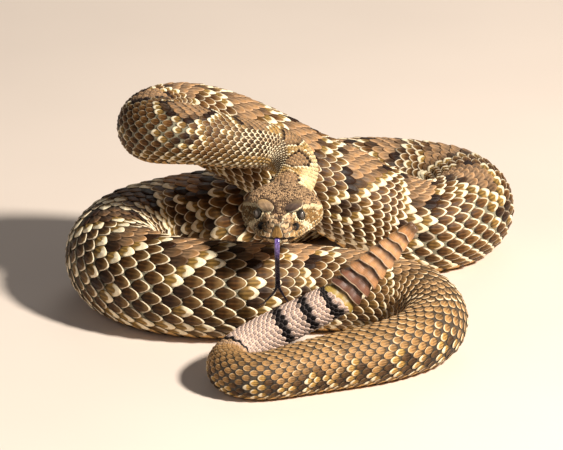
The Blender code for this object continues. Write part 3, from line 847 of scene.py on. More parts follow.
def body_pieces(body, settings, random):
    """All scales of the body as pieces, with the middle row only once."""
    rows = Rows(body)
    parts = []
    for number in range(ROWS + 1):
        for hand in ((1,) if number == 0 else (-1, 1)):
            found, around, half, pitch = rows.row(number)
            parts.append(np.stack([found, around * hand, half, pitch], 1))
    along, around, half, pitch = np.concatenate(parts).T
    stretch = body.sheet.look_up(body.sheet.stretch_along, along, around)[:, 0]
    girth = body.sheet.look_up(body.sheet.stretch_around, along, around)[:, 0]
    low = between(np.abs(around), 0.60, PLATE_EDGE)
    length = 0.5 * pitch * scale_shape(along, 2) * settings.length
    length = length * np.clip(stretch, 0.62, 1.12) * (1 + 0.12 * low)
    width = half * girth * scale_shape(along, 3) * settings.width * (1 + 0.10 * low)
    wobble = np.clip(random.normal(0.0, 1.0, (len(along), 5)), -2.0, 2.0)
    depth = coat_depth(body.radius(along))
    return Pieces(along=along + 0.03 * pitch * wobble[:, 0], around=around,
                  length=length * (1 + 0.03 * wobble[:, 1]), width=width * (1 + 0.03 * wobble[:, 2]),
                  turn=0.03 * wobble[:, 3], rise=depth * (1 + 0.06 * wobble[:, 4]), depth=depth,
                  tint=random.random(len(along)), other=random.random(len(along)),
                  point=scale_shape(along, 4) * (1 - 0.5 * low))


class Colours:
    """The colours of the settings as arrays."""

    def __init__(self, settings):
        for name in SnakeColourSettings.__annotations__:
            setattr(self, name, np.array(getattr(settings, name)))


class Markings(Colours):
    """The colours of the body at any place on it, the same for skin and scales."""

    FULL_RIM = 0.30          # where the rim starts on a bright scale, as a share of the way to its edge
    THIN_RIM = 0.84

    # Distances from the rattle's root between which the markings change.
    TAIL = (58.0, 68.0)
    PATTERNED = (170.0, 300.0)
    # over the left turn's top the blotches narrow and darken nearly to black and the cream between them
    # widens: partly the markings, partly painted shadow bands of the raised coil with painted sunlight
    # between them
    BROAD = (375.0, 400.0, 455.0, 480.0)
    NECK = (915.0, 950.0)

    def blotch(self, along, angle, tint):
        """How far out a place lies from the nearest blotch of the back: 1 is its edge."""
        number = np.interp(along, BLOTCHES, np.arange(len(BLOTCHES)))
        across = 2 * np.abs(number - np.round(number))
        reach = 45.0 + 9.0 * within(along, 430.0, 520.0, 780.0, 830.0)
        wide = 0.76 - 0.07 * within(along, 560.0, 600.0, 690.0, 730.0) - 0.16 * within(along, *self.BROAD)
        return (across / wide) ** 1.5 + (angle / reach) ** 1.5 + 0.10 * (tint - 0.5), across

    def at(self, along, around, tint, other):
        """Colours of the middle and rim of a scale, the rim with its start as a fourth column."""
        angle = np.abs(around) * 180.0
        metric, across = self.blotch(along, angle, tint)
        rear = 1 - between(along, *self.PATTERNED)
        broad = within(along, *self.BROAD)
        tone = tint[:, None]
        second = other[:, None]
        # flanks, with painted shade over the left turn, and blotches with a dark edge
        shaded = within(along, 300.0, 330.0, 450.0, 490.0)
        middle = self.ground * (0.75 + 0.5 * tone) * (1 - 0.35 * shaded[:, None])
        rim = self.ground_rim * (0.85 + 0.3 * second)
        inside = 1 - between(metric, 0.95, 1.0)
        # over the painted shadow bands the blotch cores give way to the dark edge colour
        core = (1 - between(metric, 0.50, 0.84)) * (1 - 0.7 * broad)
        middle = mixed(middle, mixed(self.border, self.brown * (0.8 + 0.45 * tone), core), inside)
        rim = mixed(rim, mixed(self.border * 2.0, self.brown * 1.7, core), inside)
        # dark spots on the flanks
        spot = np.hypot(across / 0.30, (angle - 80.0) / 11.0)
        flank = 1 - between(spot, 0.9, 1.1)
        middle = mixed(middle, self.border * 1.5, 0.92 * flank)
        rim = mixed(rim, self.border * 3.5, 0.7 * flank)
        # bright scales round the blotches, in wider bands of painted sunlight between the painted shadow
        # bands, beside the spots and low on the flanks
        bright = within(metric, 1.0, 1.04, 1.24 + 0.6 * broad, 1.34 + 0.6 * broad)
        bright = np.maximum(bright, 0.6 * (tint > 0.95) * (metric > 1.6) * (angle < 100))
        beside = within(spot, 1.1, 1.25, 1.75, 2.1) * (angle < 100)
        bright = np.maximum(bright, beside * (other > 0.35) * 0.8)
        low = between(angle, 108.0, 126.0)
        bright = np.maximum(bright, low * (0.2 + 0.7 * (other > 0.5)))
        bright = bright * (1 - 0.8 * rear * (angle < 96))
        middle = mixed(middle, self.gold * (0.8 + 0.3 * second), 0.9 * bright)
        rim = mixed(rim, self.cream * (0.88 + 0.18 * second), bright)
        start = self.THIN_RIM + (self.FULL_RIM - self.THIN_RIM) * bright + 0.05 * (other - 0.5)
        start = start - 0.11 * within(along, 520.0, 600.0, 720.0, 780.0) * (1 - bright)
        # the plain rear part, with dark and pale checks on its flanks
        tan = self.tan * (0.80 + 0.34 * tone)
        tan = tan * (1 - 0.30 * (inside * between(metric, 0.35, 0.8))[:, None])
        dull = rear * 0.92 * (1 - bright) * (1 - 0.5 * low)
        middle = mixed(middle, tan, dull)
        rim = mixed(rim, self.tan_rim * (0.85 + 0.3 * second), dull)
        wave = angle + 16.0 * np.sin(along * 0.28)
        checks = rear * between(wave, 80.0, 92.0) * (1 - between(angle, 132.0, 140.0))
        dark = (np.sin(along * 0.56 + 2.0 * (around > 0)) + 0.5 * np.sin(angle * 0.11) > 0.0) * checks
        pale = checks - dark
        middle = mixed(middle, self.border * 1.6, 0.86 * dark)
        rim = mixed(rim, self.tan_rim * 0.25, 0.9 * dark)
        start = start + (0.9 - start) * dark
        middle = mixed(middle, self.gold * 1.35, 0.80 * pale)
        rim = mixed(rim, self.cream * 0.8, 0.70 * pale)
        start = start - 0.22 * pale
        # the neck, dark with pale rims on its right, and pale on its left as painted light
        neck = between(along, *self.NECK)
        middle = mixed(middle, mixed(self.gold * (1.0 + 0.6 * tone), self.tan_rim, 0.45 * (other > 0.55)),
                       0.75 * neck * (1 - inside) * (1 - 0.6 * bright))
        rim = mixed(rim, self.tan_rim * (0.8 + 0.4 * second), 0.75 * neck * (1 - 0.8 * bright))
        dotted = between(along, 920.0, 935.0) * within(around, 0.16, 0.24, 0.52, 0.60)
        middle = mixed(middle, self.border * 2.0, 0.9 * dotted)
        rim = mixed(rim, self.cream, 0.9 * dotted * (other > 0.3))
        start = start + (0.62 - start) * dotted
        lit = neck * between(-around, 0.12, 0.3) * (1 - inside)
        middle = mixed(middle, self.cream * (0.70 + 0.40 * tone) * (1.0, 0.94, 0.76), 0.92 * lit)
        # the tail and its rings
        tail = 1 - between(along + 6.0 * (other - 0.5), *self.TAIL)
        middle = mixed(middle, self.tail * (0.86 + 0.2 * tone), tail)
        rim = mixed(rim, np.minimum(self.tail * 1.3, 0.92), tail)
        start = start + (0.78 - start) * tail
        ring = self.rings(along, around)
        middle = mixed(middle, self.ring, ring)
        rim = mixed(rim, self.ring * 2.5, 0.96 * ring)
        return middle, np.column_stack([rim, start])

    def rings(self, along, around):
        """How far a place lies within the black rings of the tail."""
        ring = np.zeros(len(along))
        for place, half in TAIL_RINGS:
            fall = 1.0 if place < 50 else 1 - between(np.abs(around), 0.34, 0.52)
            ring = np.maximum(ring, (1 - between(np.abs(along - place), half - 0.4, half + 0.5)) * fall)
        return ring

    def skin(self, along, around):
        """Colour of the skin between the scales."""
        half = np.full(len(along), 0.5)
        middle, rim = self.at(along, around, half, half)
        mean = 0.6 * middle + 0.4 * rim[:, :3]
        angle = np.abs(around) * 180.0
        metric, _ = self.blotch(along, angle, half)
        grey = between(metric, 0.95, 1.1) * between(along, 190.0, 300.0)
        skin = mixed(mean * 0.34, self.skin_grey, 0.85 * grey)
        # painted shade in the gaps: the skin between the scales of the plain rear part is made nearly black
        rear = (1 - between(along, *self.PATTERNED)) * between(along, *self.TAIL)
        skin = mixed(skin, mean * 0.09, rear)
        tail = 1 - between(along, 56.0, 66.0)
        skin = mixed(skin, mixed(self.tail * 0.75, self.ring, self.rings(along, around)), tail)
        return mixed(skin, self.belly * 0.8, between(angle, 132.0, 142.0) * (1 - tail))

    def belly_colours(self, along, tint):
        """Colours of the middle and rim of a belly plate."""
        middle = self.belly * (0.88 + 0.2 * tint[:, None])
        middle = mixed(middle, self.tail * 0.9, 1 - between(along, *self.TAIL))
        rim = np.minimum(middle * 1.15, 0.95)
        return middle, np.column_stack([rim, np.full(len(rim), 0.9)])


def stripe(place, line, half):
    """How far places lie within a stripe through points along and up the head, or along, across and up it."""
    best = np.full(len(place), np.inf)
    spot = place[:, (0, 2)] if line.shape[1] == 2 else np.abs(place)
    for start, end in zip(line[:-1], line[1:]):
        run = end - start
        share = np.clip(((spot - start) @ run) / (run @ run), 0.0, 1.0)
        best = np.minimum(best, np.linalg.norm(spot - (start + share[:, None] * run), axis=1))
    return 1 - between(best, half * 0.8, half * 1.2)


# Stripes of the face before and behind the eye, as places along and up the head.
BEFORE_EYE = np.array(((30.3, -6.2), (37.3, 1.2), (38.6, 5.3)))
BEHIND_EYE = np.array(((14.0, -1.6), (17.8, 0.5), (24.5, 3.7), (29.3, 5.4), (31.0, 6.6)))

# The pale stripe from the plate over the eye to the snout, partly a marking and partly a painted highlight
# along the edge, as places along, across and up the head.
CANTHUS_LINE_AND_HIGHLIGHT = np.array(((39.0, 5.6, 7.0), (43.5, 3.9, 6.2), (47.0, 2.7, 5.4), (49.2, 1.9, 4.0)))

CROWN_SPOTS = (
    # along, across, half size
    (44.9, 0.0, 2.0),
    (36.3, 2.0, 1.6),
    (28.8, 0.8, 1.7),
    (40.5, 0.8, 1.2),
    (31.5, 2.8, 1.4),
)


def brow_place(along, wide):
    """How far across and how far out places lie from the middle of the plate over the eye: 1 is its edge."""
    ahead = BROW_LINE[0] - along
    across = (wide - BROW_LINE[1] - BROW_LINE[2] * ahead) / BROW_HALF[1]
    return across, np.hypot(ahead / BROW_HALF[0], across)


def head_colours(colours, place, tint, other):
    """Colours of the middle and rim of a scale of the head, from its place along, across and up the head."""
    left = mirrored(place)
    along, wide, height = left.T
    tone = tint[:, None]
    dark = colours.head_dark
    pale = colours.head_pale * (0.88 + 0.2 * tone)
    # the speckled crown, with dark spots and a dark arc round the plates over the eyes, the arc stronger on
    # the right as painted shade
    middle = mixed(colours.crown * (0.58 + 0.76 * tone), dark, 0.88 * (other > 0.74))
    for spot_along, spot_across, size in CROWN_SPOTS:
        away = np.hypot(along - spot_along, wide - spot_across)
        middle = mixed(middle, dark * 1.6, 0.8 * (1 - between(away, size * 0.6, size)) * (height > 3.0))
    beside, from_plate = brow_place(along, wide)
    arc = (1 - between(from_plate, 1.26, 1.46)) * (beside < 0.4) * (height > 4.5)
    middle = mixed(middle, dark, arc * np.where(place[:, 1] < 0, 0.92, 0.5))
    # the sides of the snout, and painted shade on the scales round the heat pits
    snout = between(wide, 5.5, 7.5) * between(5.2 - height, -0.4, 0.4) * between(along, 37.5, 39.0)
    middle = mixed(middle, colours.cheek * (1.2 + 0.9 * tone), 0.75 * snout)
    middle = mixed(middle, dark, 0.7 * snout * (other > 0.7))
    pit = from_spot(left, PIT_PLACE, (3.0, 5.0, 1.9))
    middle = mixed(middle, dark, 0.75 * (1 - between(pit, 1.0, 1.35)))
    # the dark band behind the eye, between the two stripes
    edge = np.interp(height, BEFORE_EYE[:, 1], BEFORE_EYE[:, 0])
    top = np.interp(along, BEHIND_EYE[:, 0], BEHIND_EYE[:, 1])
    band = between(edge - along, -0.3, 0.5) * between(top - height, -0.3, 0.5)
    band = band * (wide > 8.0) * (height > -7.0) * between(along, 14.0, 17.0)
    middle = mixed(middle, colours.cheek * (0.7 + 0.9 * tone), 0.95 * band)
    middle = mixed(middle, pale * 0.8, 0.75 * band * (other > 0.86))
    # painted shade on the right cheek, the stripes, and the throat
    under = between(-height, 6.3, 8.3)
    shaded = between(-place[:, 1], 5.0, 9.0) * between(6.0 - height, 0.0, 1.0) * (1 - under)
    middle = mixed(middle, middle * 0.45, 0.9 * shaded)
    lines = stripe(place, BEFORE_EYE, 1.35) * (wide > 7.0)
    lines = np.maximum(lines, 0.7 * stripe(place, BEHIND_EYE, 0.9) * (wide > 9.0))
    lines = np.maximum(lines, 0.9 * stripe(place, CANTHUS_LINE_AND_HIGHLIGHT, 0.85))
    middle = mixed(middle, pale * (1.12 - 0.3 * shaded[:, None]), 0.97 * lines)
    middle = mixed(middle, mixed(colours.belly, pale, 0.35) * (0.75 + 0.5 * tone), under)
    rim = np.minimum(middle * 1.5 + 0.04, 0.92)
    return middle, np.column_stack([rim, np.full(len(along), 0.8)])


class Wiring:
    """Short ways to place and join shader nodes in one tree."""

    def __init__(self, tree):
        self.tree = tree

    def node(self, kind, **settings):
        made = self.tree.nodes.new(kind)
        for name, value in settings.items():
            setattr(made, name, value)
        return made

    def feed(self, socket, value):
        """Joins a node's output to a socket, or sets the socket to a value."""
        if isinstance(value, bpy.types.NodeSocket):
            self.tree.links.new(value, socket)
        else:
            socket.default_value = value

    def fill(self, node, **values):
        """Feeds the inputs of a node by their names, with _ for each space."""
        for name, value in values.items():
            self.feed(node.inputs[name.replace("_", " ")], value)
        return node

    def maths(self, operation, *values):
        made = self.node("ShaderNodeMath", operation=operation)
        for socket, value in zip(made.inputs, values):
            self.feed(socket, value)
        return made.outputs[0]

    def times(self, *values):
        """The product of two values or more."""
        product = values[0]
        for value in values[1:]:
            product = self.maths("MULTIPLY", product, value)
        return product

    def centred(self, value):
        """A place on a map as -1 to 1 instead of 0 to 1."""
        return self.maths("MULTIPLY_ADD", value, 2.0, -1.0)

    def reach(self, one, two):
        """The length of a line with these two sides."""
        return self.maths("SQRT", self.maths("ADD", self.times(one, one), self.times(two, two)))

    def ramp(self, value, low, high, out_low=0.0, out_high=1.0):
        """A value mapped gently from one range to another and held there."""
        made = self.node("ShaderNodeMapRange", interpolation_type="SMOOTHSTEP", clamp=True)
        for socket, number in zip(made.inputs, (value, low, high, out_low, out_high)):
            self.feed(socket, number)
        return made.outputs[0]

    def mix(self, share, one, two, blend="MIX"):
        made = self.node("ShaderNodeMix", data_type="RGBA", blend_type=blend)
        for number, value in ((0, share), (6, one), (7, two)):
            self.feed(made.inputs[number], value)
        return made.outputs[2]

    def shaded(self, colour, share):
        """A colour made lighter or darker by a share."""
        made = self.node("ShaderNodeVectorMath", operation="SCALE")
        self.feed(made.inputs[0], colour)
        return self.fill(made, Scale=share).outputs[0]

    def noise(self, place, scale, detail=3.0, roughness=0.5):
        made = self.node("ShaderNodeTexNoise")
        return self.fill(made, Vector=place, Scale=scale, Detail=detail, Roughness=roughness).outputs["Fac"]

    def attribute(self, name):
        return self.node("ShaderNodeAttribute", attribute_name=name).outputs

    def map_places(self, name):
        """The two numbers of a map."""
        split = self.node("ShaderNodeSeparateXYZ")
        self.feed(split.inputs[0], self.node("ShaderNodeUVMap", uv_map=name).outputs["UV"])
        return split.outputs["X"], split.outputs["Y"]

    def place_on_object(self):
        return self.node("ShaderNodeTexCoord").outputs["Object"]

    def group(self, name, **values):
        """Outputs of a node group, which is built at its first use."""
        made = self.node("ShaderNodeGroup")
        made.node_tree = bpy.data.node_groups.get(name) or GROUPS[name]()
        return self.fill(made, **values).outputs

    def freckled(self, colour, dark, amount, size):
        return self.group("Freckles", Color=colour, Dark=(*dark, 1.0), Amount=amount, Size=size)["Color"]

    def grain(self, size, wrinkle):
        return self.group("Fine Grain", Size=size, Wrinkle=wrinkle)["Height"]

    def bump(self, height, distance, strength):
        made = self.node("ShaderNodeBump")
        return self.fill(made, Strength=strength, Distance=distance, Height=height).outputs["Normal"]


def shader_group(name, inputs, outputs):
    """A new shader node group with named sockets: its wiring, what it is given and what it gives."""
    group = bpy.data.node_groups.new(name, "ShaderNodeTree")
    for way, sockets in (("INPUT", inputs), ("OUTPUT", outputs)):
        for title, kind in sockets.items():
            group.interface.new_socket(title, in_out=way, socket_type=f"NodeSocket{kind}")
    return Wiring(group), group.nodes.new("NodeGroupInput").outputs, group.nodes.new("NodeGroupOutput")


def freckle_group():
    """Small dark freckles and soft mottling over a colour, by its place on the object."""
    wire, given, leave = shader_group(
        "Freckles",
        {"Color": "Color", "Dark": "Color", "Amount": "Float", "Size": "Float"},
        {"Color": "Color"})
    place = wire.place_on_object()
    spots = wire.ramp(wire.noise(place, given["Size"], 3.0, 0.6), 0.56, 0.68)
    broad = wire.ramp(wire.noise(place, 420.0, 2.0), 0.25, 0.75, 0.82, 1.14)
    darker = wire.mix(wire.times(spots, given["Amount"]), given["Color"], given["Dark"])
    wire.fill(leave, Color=wire.shaded(darker, broad))
    return wire.tree


def grain_group():
    """Fine wrinkles and grain as a height, by the place on the object."""
    wire, given, leave = shader_group(
        "Fine Grain",
        {"Size": "Float", "Wrinkle": "Float"},
        {"Height": "Float"})
    place = wire.place_on_object()
    cells = wire.node("ShaderNodeTexVoronoi", feature="DISTANCE_TO_EDGE")
    wire.fill(cells, Vector=place, Scale=given["Size"])
    creases = wire.ramp(cells.outputs["Distance"], 0.0, 0.25)
    grain = wire.noise(place, 5200.0, 2.0)
    wire.fill(leave, Height=wire.maths("MULTIPLY_ADD", creases, given["Wrinkle"], grain))
    return wire.tree


def scale_group():
    """One scale: a pale rim at its tip, dark streaks beside the keel, and painted shade over its root and
    round its edge.
    """
    wire, given, leave = shader_group(
        "Keeled Scale",
        {"Middle": "Color", "Rim": "Color", "Rim Start": "Float", "Keel": "Float", "All Round": "Float"},
        {"Color": "Color", "Height": "Float", "Roughness": "Float"})
    across, tipward = (wire.centred(value) for value in wire.map_places("Scale"))
    uneven = wire.maths("MULTIPLY_ADD", wire.noise(wire.place_on_object(), 1300.0, 2.0), 0.10, -0.05)
    ring = wire.maths("ADD", wire.reach(across, tipward), uneven)
    at_rim = wire.ramp(ring, given["Rim Start"], wire.maths("ADD", given["Rim Start"], 0.06))
    rim = wire.times(at_rim, wire.maths("MAXIMUM", wire.ramp(tipward, -0.12, 0.38), given["All Round"]))
    side = wire.maths("ABSOLUTE", across)
    ridge = wire.times(wire.ramp(side, 0.02, 0.14, 1.0, 0.0), wire.ramp(tipward, -0.9, -0.5),
                       wire.ramp(tipward, 0.45, 0.8, 1.0, 0.0))
    streak = wire.times(wire.ramp(side, 0.08, 0.20), wire.ramp(side, 0.34, 0.66, 1.0, 0.0),
                        wire.ramp(tipward, -0.1, 0.62, 1.0, 0.0), given["Keel"])
    warm = wire.mix(1.0, wire.mix(0.30, given["Middle"], given["Rim"]), (1.0, 0.80, 0.46, 1.0), "MULTIPLY")
    colour = wire.mix(wire.times(wire.ramp(tipward, -0.1, 0.85), 0.55), given["Middle"], warm)
    colour = wire.mix(rim, colour, given["Rim"])
    # painted shade: darker at the root, under the scale that laps over it, and at the very edge
    shade = wire.times(wire.maths("SUBTRACT", 1.0, streak), wire.ramp(tipward, -0.95, -0.25, 0.24, 1.0),
                       wire.ramp(ring, 0.96, 1.12, 1.0, 0.10))
    grooves = wire.times(wire.maths("SINE", wire.times(across, 42.0)), wire.ramp(ring, 0.2, 0.8, 0.04, 0.12))
    wire.fill(leave, Color=wire.shaded(colour, shade),
              Height=wire.maths("ADD", wire.times(ridge, 0.6), grooves),
              Roughness=wire.ramp(rim, 0.0, 1.0, 0.0, -0.08))
    return wire.tree


GROUPS = {"Freckles": freckle_group, "Fine Grain": grain_group, "Keeled Scale": scale_group}


def new_material(name, viewport):
    """A material with a Principled shader, its wiring and the shader."""
    made = bpy.data.materials.new(name)
    made.use_nodes = True
    made.diffuse_color = (*viewport, 1.0)
    return made, Wiring(made.node_tree), made.node_tree.nodes["Principled BSDF"]


def scale_material(name, keel=0.5, freckles=0.22, roughness=0.44, all_round=0.0):
    """Dry keratin over the colours that each scale carries."""
    made, wire, shader = new_material(name, (0.36, 0.25, 0.14))
    rim = wire.attribute("Rim")
    scale = wire.group("Keeled Scale", Middle=wire.attribute("Middle")["Color"], Rim=rim["Color"],
                       Rim_Start=rim["Alpha"], Keel=keel, All_Round=all_round)
    worn = wire.ramp(wire.noise(wire.place_on_object(), 700.0), 0.3, 0.7, roughness - 0.05, roughness + 0.08)
    height = wire.maths("MULTIPLY_ADD", wire.grain(2600.0, 0.12), 0.35, scale["Height"])
    wire.fill(shader, Base_Color=wire.freckled(scale["Color"], (0.045, 0.028, 0.015), freckles, 2300.0),
              Roughness=wire.maths("ADD", scale["Roughness"], worn), Normal=wire.bump(height, 0.00016, 0.7),
              Specular_IOR_Level=0.12)
    return made


def skin_material():
    """Soft skin between the scales, in the colours that its points carry."""
    made, wire, shader = new_material("snake_skin", (0.3, 0.24, 0.17))
    colour = wire.freckled(wire.attribute("Marking")["Color"], (0.03, 0.02, 0.012), 0.4, 3400.0)
    worn = wire.ramp(wire.noise(wire.place_on_object(), 900.0), 0.3, 0.7, 0.52, 0.68)
    wire.fill(shader, Base_Color=colour, Roughness=worn,
              Normal=wire.bump(wire.grain(3400.0, 0.6), 0.00012, 0.6))
    return made


def horn_material():
    """Dry horn of the rattle, with growth lines, pale lips that are partly wear and partly painted highlight,
    and the painted shade in the hollows that its tones carry.
    """
    made, wire, shader = new_material("rattle_horn", (0.5, 0.32, 0.17))
    place = wire.place_on_object()
    growth = wire.times(wire.attribute("Growth")["Fac"], 46.0)
    lines = wire.maths("SINE", wire.maths("MULTIPLY_ADD", wire.noise(place, 260.0, 2.0), 9.0, growth))
    banded = wire.mix(wire.ramp(lines, -1.0, 1.0, 0.0, 0.28), wire.attribute("Tone")["Color"],
                      (0.20, 0.09, 0.04, 1.0))
    # pale lips: partly wear, partly a painted highlight along each rim
    lip = wire.ramp(wire.attribute("Lip")["Fac"], 0.25, 0.85, 0.0, 0.95)
    worn = wire.mix(lip, banded, (0.90, 0.72, 0.52, 1.0))
    height = wire.maths("MULTIPLY_ADD", lines, 0.35, wire.grain(1600.0, 0.3))
    wire.fill(shader, Base_Color=wire.freckled(worn, (0.16, 0.08, 0.04), 0.35, 1500.0),
              Roughness=wire.ramp(wire.noise(place, 1100.0), 0.3, 0.7, 0.30, 0.48),
              Normal=wire.bump(height, 0.00014, 0.55), Subsurface_Weight=0.12,
              Subsurface_Radius=(0.9, 0.45, 0.2), Subsurface_Scale=0.0015, Coat_Weight=0.15,
              Coat_Roughness=0.3)
    return made


def eye_material():
    """A dark speckled iris with an upright slit, under a wet clear front."""
    made, wire, shader = new_material("eye", (0.3, 0.28, 0.24))
    side, up = (wire.centred(value) for value in wire.map_places("Iris"))
    side = wire.maths("ABSOLUTE", side)
    slit = wire.maths("MULTIPLY_ADD", wire.times(up, up), 0.26, side)
    pupil = wire.ramp(slit, 0.18, 0.22, 1.0, 0.0)
    edge = wire.ramp(slit, 0.21, 0.31, 1.0, 0.0)
    fibres = wire.noise(wire.place_on_object(), 3800.0, 4.0, 0.7)
    iris = wire.mix(wire.ramp(fibres, 0.35, 0.65), (0.036, 0.028, 0.026, 1.0), (0.15, 0.12, 0.10, 1.0))
    upper = wire.mix(wire.ramp(up, -0.1, 0.8, 0.0, 0.6), iris, (0.22, 0.19, 0.17, 1.0))
    ringed = wire.mix(wire.times(edge, 0.5), upper, (0.30, 0.24, 0.15, 1.0))
    limbus = wire.mix(wire.ramp(wire.reach(side, up), 0.62, 0.86), ringed, (0.02, 0.016, 0.012, 1.0))
    wire.fill(shader, Base_Color=wire.mix(pupil, limbus, (0.002, 0.002, 0.002, 1.0)),
              Roughness=wire.ramp(fibres, 0.3, 0.7, 0.22, 0.34), Specular_IOR_Level=0.15, Coat_Weight=0.12,
              Coat_Roughness=0.03)
    return made


def tongue_material():
    """Wet tongue, violet near the mouth and black towards the fork."""
    made, wire, shader = new_material("tongue", (0.04, 0.02, 0.06))
    streak = wire.noise(wire.place_on_object(), 900.0, 3.0)
    violet = wire.mix(wire.ramp(streak, 0.35, 0.65), (0.06, 0.035, 0.16, 1.0), (0.21, 0.14, 0.40, 1.0))
    black = wire.mix(wire.ramp(streak, 0.35, 0.7), (0.006, 0.005, 0.008, 1.0), (0.02, 0.014, 0.024, 1.0))
    down = wire.ramp(wire.attribute("Reach")["Fac"], 0.12, 0.34)
    wire.fill(shader, Base_Color=wire.mix(down, violet, black),
              Roughness=wire.ramp(streak, 0.3, 0.7, 0.16, 0.30), Coat_Weight=0.6, Coat_Roughness=0.08,
              Normal=wire.bump(wire.grain(2400.0, 0.4), 0.00008, 0.5))
    return made


def floor_material(colour):
    """Matt pale paper with a trace of tooth."""
    made, wire, shader = new_material("pale_floor", colour)
    place = wire.place_on_object()
    soft = wire.noise(place, 6.0, 2.0)
    deeper = tuple(value * 0.96 for value in colour)
    wire.fill(shader, Base_Color=wire.mix(wire.ramp(soft, 0.3, 0.7), (*colour, 1.0), (*deeper, 1.0)),
              Roughness=wire.ramp(soft, 0.3, 0.7, 0.72, 0.8), Specular_IOR_Level=0.25,
              Normal=wire.bump(wire.noise(place, 1200.0, 2.0), 0.0001, 0.12))
    return made


def colour_property(name, description, default):
    return FloatVectorProperty(name=name, description=description, default=default, size=3, min=0.0, max=1.0,
                               subtype="COLOR")


class SnakeScaleSettings(bpy.types.PropertyGroup):
    length: FloatProperty(name="Scale length", description="Lengthens all body scales",
                          default=1.0, min=0.8, max=1.4)
    width: FloatProperty(name="Scale width", description="Widens all body scales", default=1.0, min=0.8,
                         max=1.4)
    keel: FloatProperty(name="Keel", description="Height of the keel as a share of the scale's thickness",
                        default=0.30, min=0.0, max=0.6)
    head_size: FloatProperty(name="Crown scale", description="Length of the small scales on the crown",
                             default=0.00135, min=0.001, max=0.003, unit="LENGTH")
    seed: IntProperty(name="Seed", description="Start of the small differences from scale to scale",
                      default=7)


class SnakeColourSettings(bpy.types.PropertyGroup):
    brown: colour_property("Blotch", "Middle of the blotches of the back", (0.30, 0.180, 0.098))
    border: colour_property("Blotch edge", "Dark edge of the blotches", (0.020, 0.009, 0.005))
    cream: colour_property("Cream", "Tips of the bright scales", (0.88, 0.75, 0.52))
    gold: colour_property("Gold", "Roots of the bright scales", (0.36, 0.21, 0.055))
    ground: colour_property("Flank", "Middle of the flank scales", (0.105, 0.045, 0.013))
    ground_rim: colour_property("Flank rim", "Rim of the flank scales", (0.80, 0.66, 0.47))
    tan: colour_property("Tan", "Middle of the scales of the plain rear part", (0.385, 0.215, 0.088))
    tan_rim: colour_property("Tan rim", "Rim of the scales of the plain rear part", (0.69, 0.475, 0.265))
    belly: colour_property("Belly", "Belly plates", (0.62, 0.38, 0.15))
    tail: colour_property("Tail", "Pale scales between the tail's rings", (0.62, 0.46, 0.39))
    ring: colour_property("Tail ring", "Dark rings of the tail", (0.008, 0.007, 0.008))
    skin_grey: colour_property("Skin", "Bare skin between the flank scales", (0.20, 0.18, 0.115))
    crown: colour_property("Crown", "Top of the head", (0.42, 0.270, 0.155))
    head_dark: colour_property("Head dark", "Dark specks of the head", (0.045, 0.024, 0.015))
    head_pale: colour_property("Head pale", "Pale stripes of the face", (0.80, 0.66, 0.43))
    cheek: colour_property("Cheek", "Dark band behind the eye", (0.20, 0.11, 0.035))
    brow: colour_property("Brow", "Plates over the eyes", (0.20, 0.12, 0.085))


class SnakeStageSettings(bpy.types.PropertyGroup):
    key: FloatProperty(name="Key light", description="Power of the main light", default=67.0, min=0.0,
                       unit="POWER")
    fill: FloatProperty(name="Fill light", description="Power of the soft light opposite", default=2.2,
                        min=0.0, unit="POWER")
    world: FloatProperty(name="Room light", description="Strength of the light from all round",
                         default=0.11, min=0.0)
    floor: colour_property("Floor", "Pale floor", (0.74, 0.63, 0.55))
    distance: FloatProperty(name="Camera distance", description="From the camera to the snake", default=3.0,
                            min=0.5, unit="LENGTH")
    elevation: FloatProperty(name="Camera elevation", description="Angle of the camera over the floor",
                             default=math.radians(20.0), subtype="ANGLE")
    field: FloatProperty(name="Field", description="Width that the picture covers at the snake",
                         default=0.2815, min=0.05, unit="LENGTH")


def strips(along, around, length, count):
    """An unwrap of the long skin as strips beside one another."""
    share = np.clip(along / length, 0.0, 0.99999) * count
    strip = np.floor(share[:, :1])
    return np.stack([np.clip(share - strip, 0.0, 1.0) * 0.99 + 0.005,
                     (strip + 0.02 + 0.94 * (around * 0.5 + 0.5)) / count], -1)


class Faces:
    """Blocks of faces for one mesh, and where their corners lie along and round a tube."""

    def __init__(self):
        self.blocks = []
        self.places = []

    def add(self, corners, along=None, around=None):
        """Adds faces, as one column of point numbers for each corner and the same for the places."""
        corners = np.stack(np.broadcast_arrays(*corners), -1)
        self.blocks.append(corners.reshape(-1, corners.shape[-1]))
        if along is not None:
            self.places.append([self.spread(columns, corners.shape) for columns in (along, around)])

    def spread(self, columns, shape):
        """Columns, some with one value for many faces, as one row for each face."""
        columns = [np.broadcast_to(column, shape[:-1]) for column in columns]
        return np.stack(columns, -1).reshape(-1, shape[-1])

    def mesh(self, name, points):
        loops = np.concatenate([block.ravel() for block in self.blocks])
        sizes = np.concatenate([np.full(len(block), block.shape[1]) for block in self.blocks])
        return new_mesh(name, points, loops, sizes)


class Rounds:
    """The numbers of a ring of points, those of the points after them, and their places round a tube."""

    def __init__(self, count):
        self.count = count
        self.numbers = np.arange(count)
        self.after = (self.numbers + 1) % count
        self.step = 2.0 / count
        self.around = np.linspace(-1.0, 1.0, count, endpoint=False)

    def add_rings(self, faces, start, along):
        """Adds the faces between rings of points that lie at distances along."""
        low = start + self.count * np.arange(len(along) - 1)[:, None]
        high = low + self.count
        here = along[:-1, None]
        ahead = along[1:, None]
        end = self.around + self.step
        faces.add((low + self.numbers, low + self.after, high + self.after, high + self.numbers),
                  (here, here, ahead, ahead), (self.around, end, end, self.around))


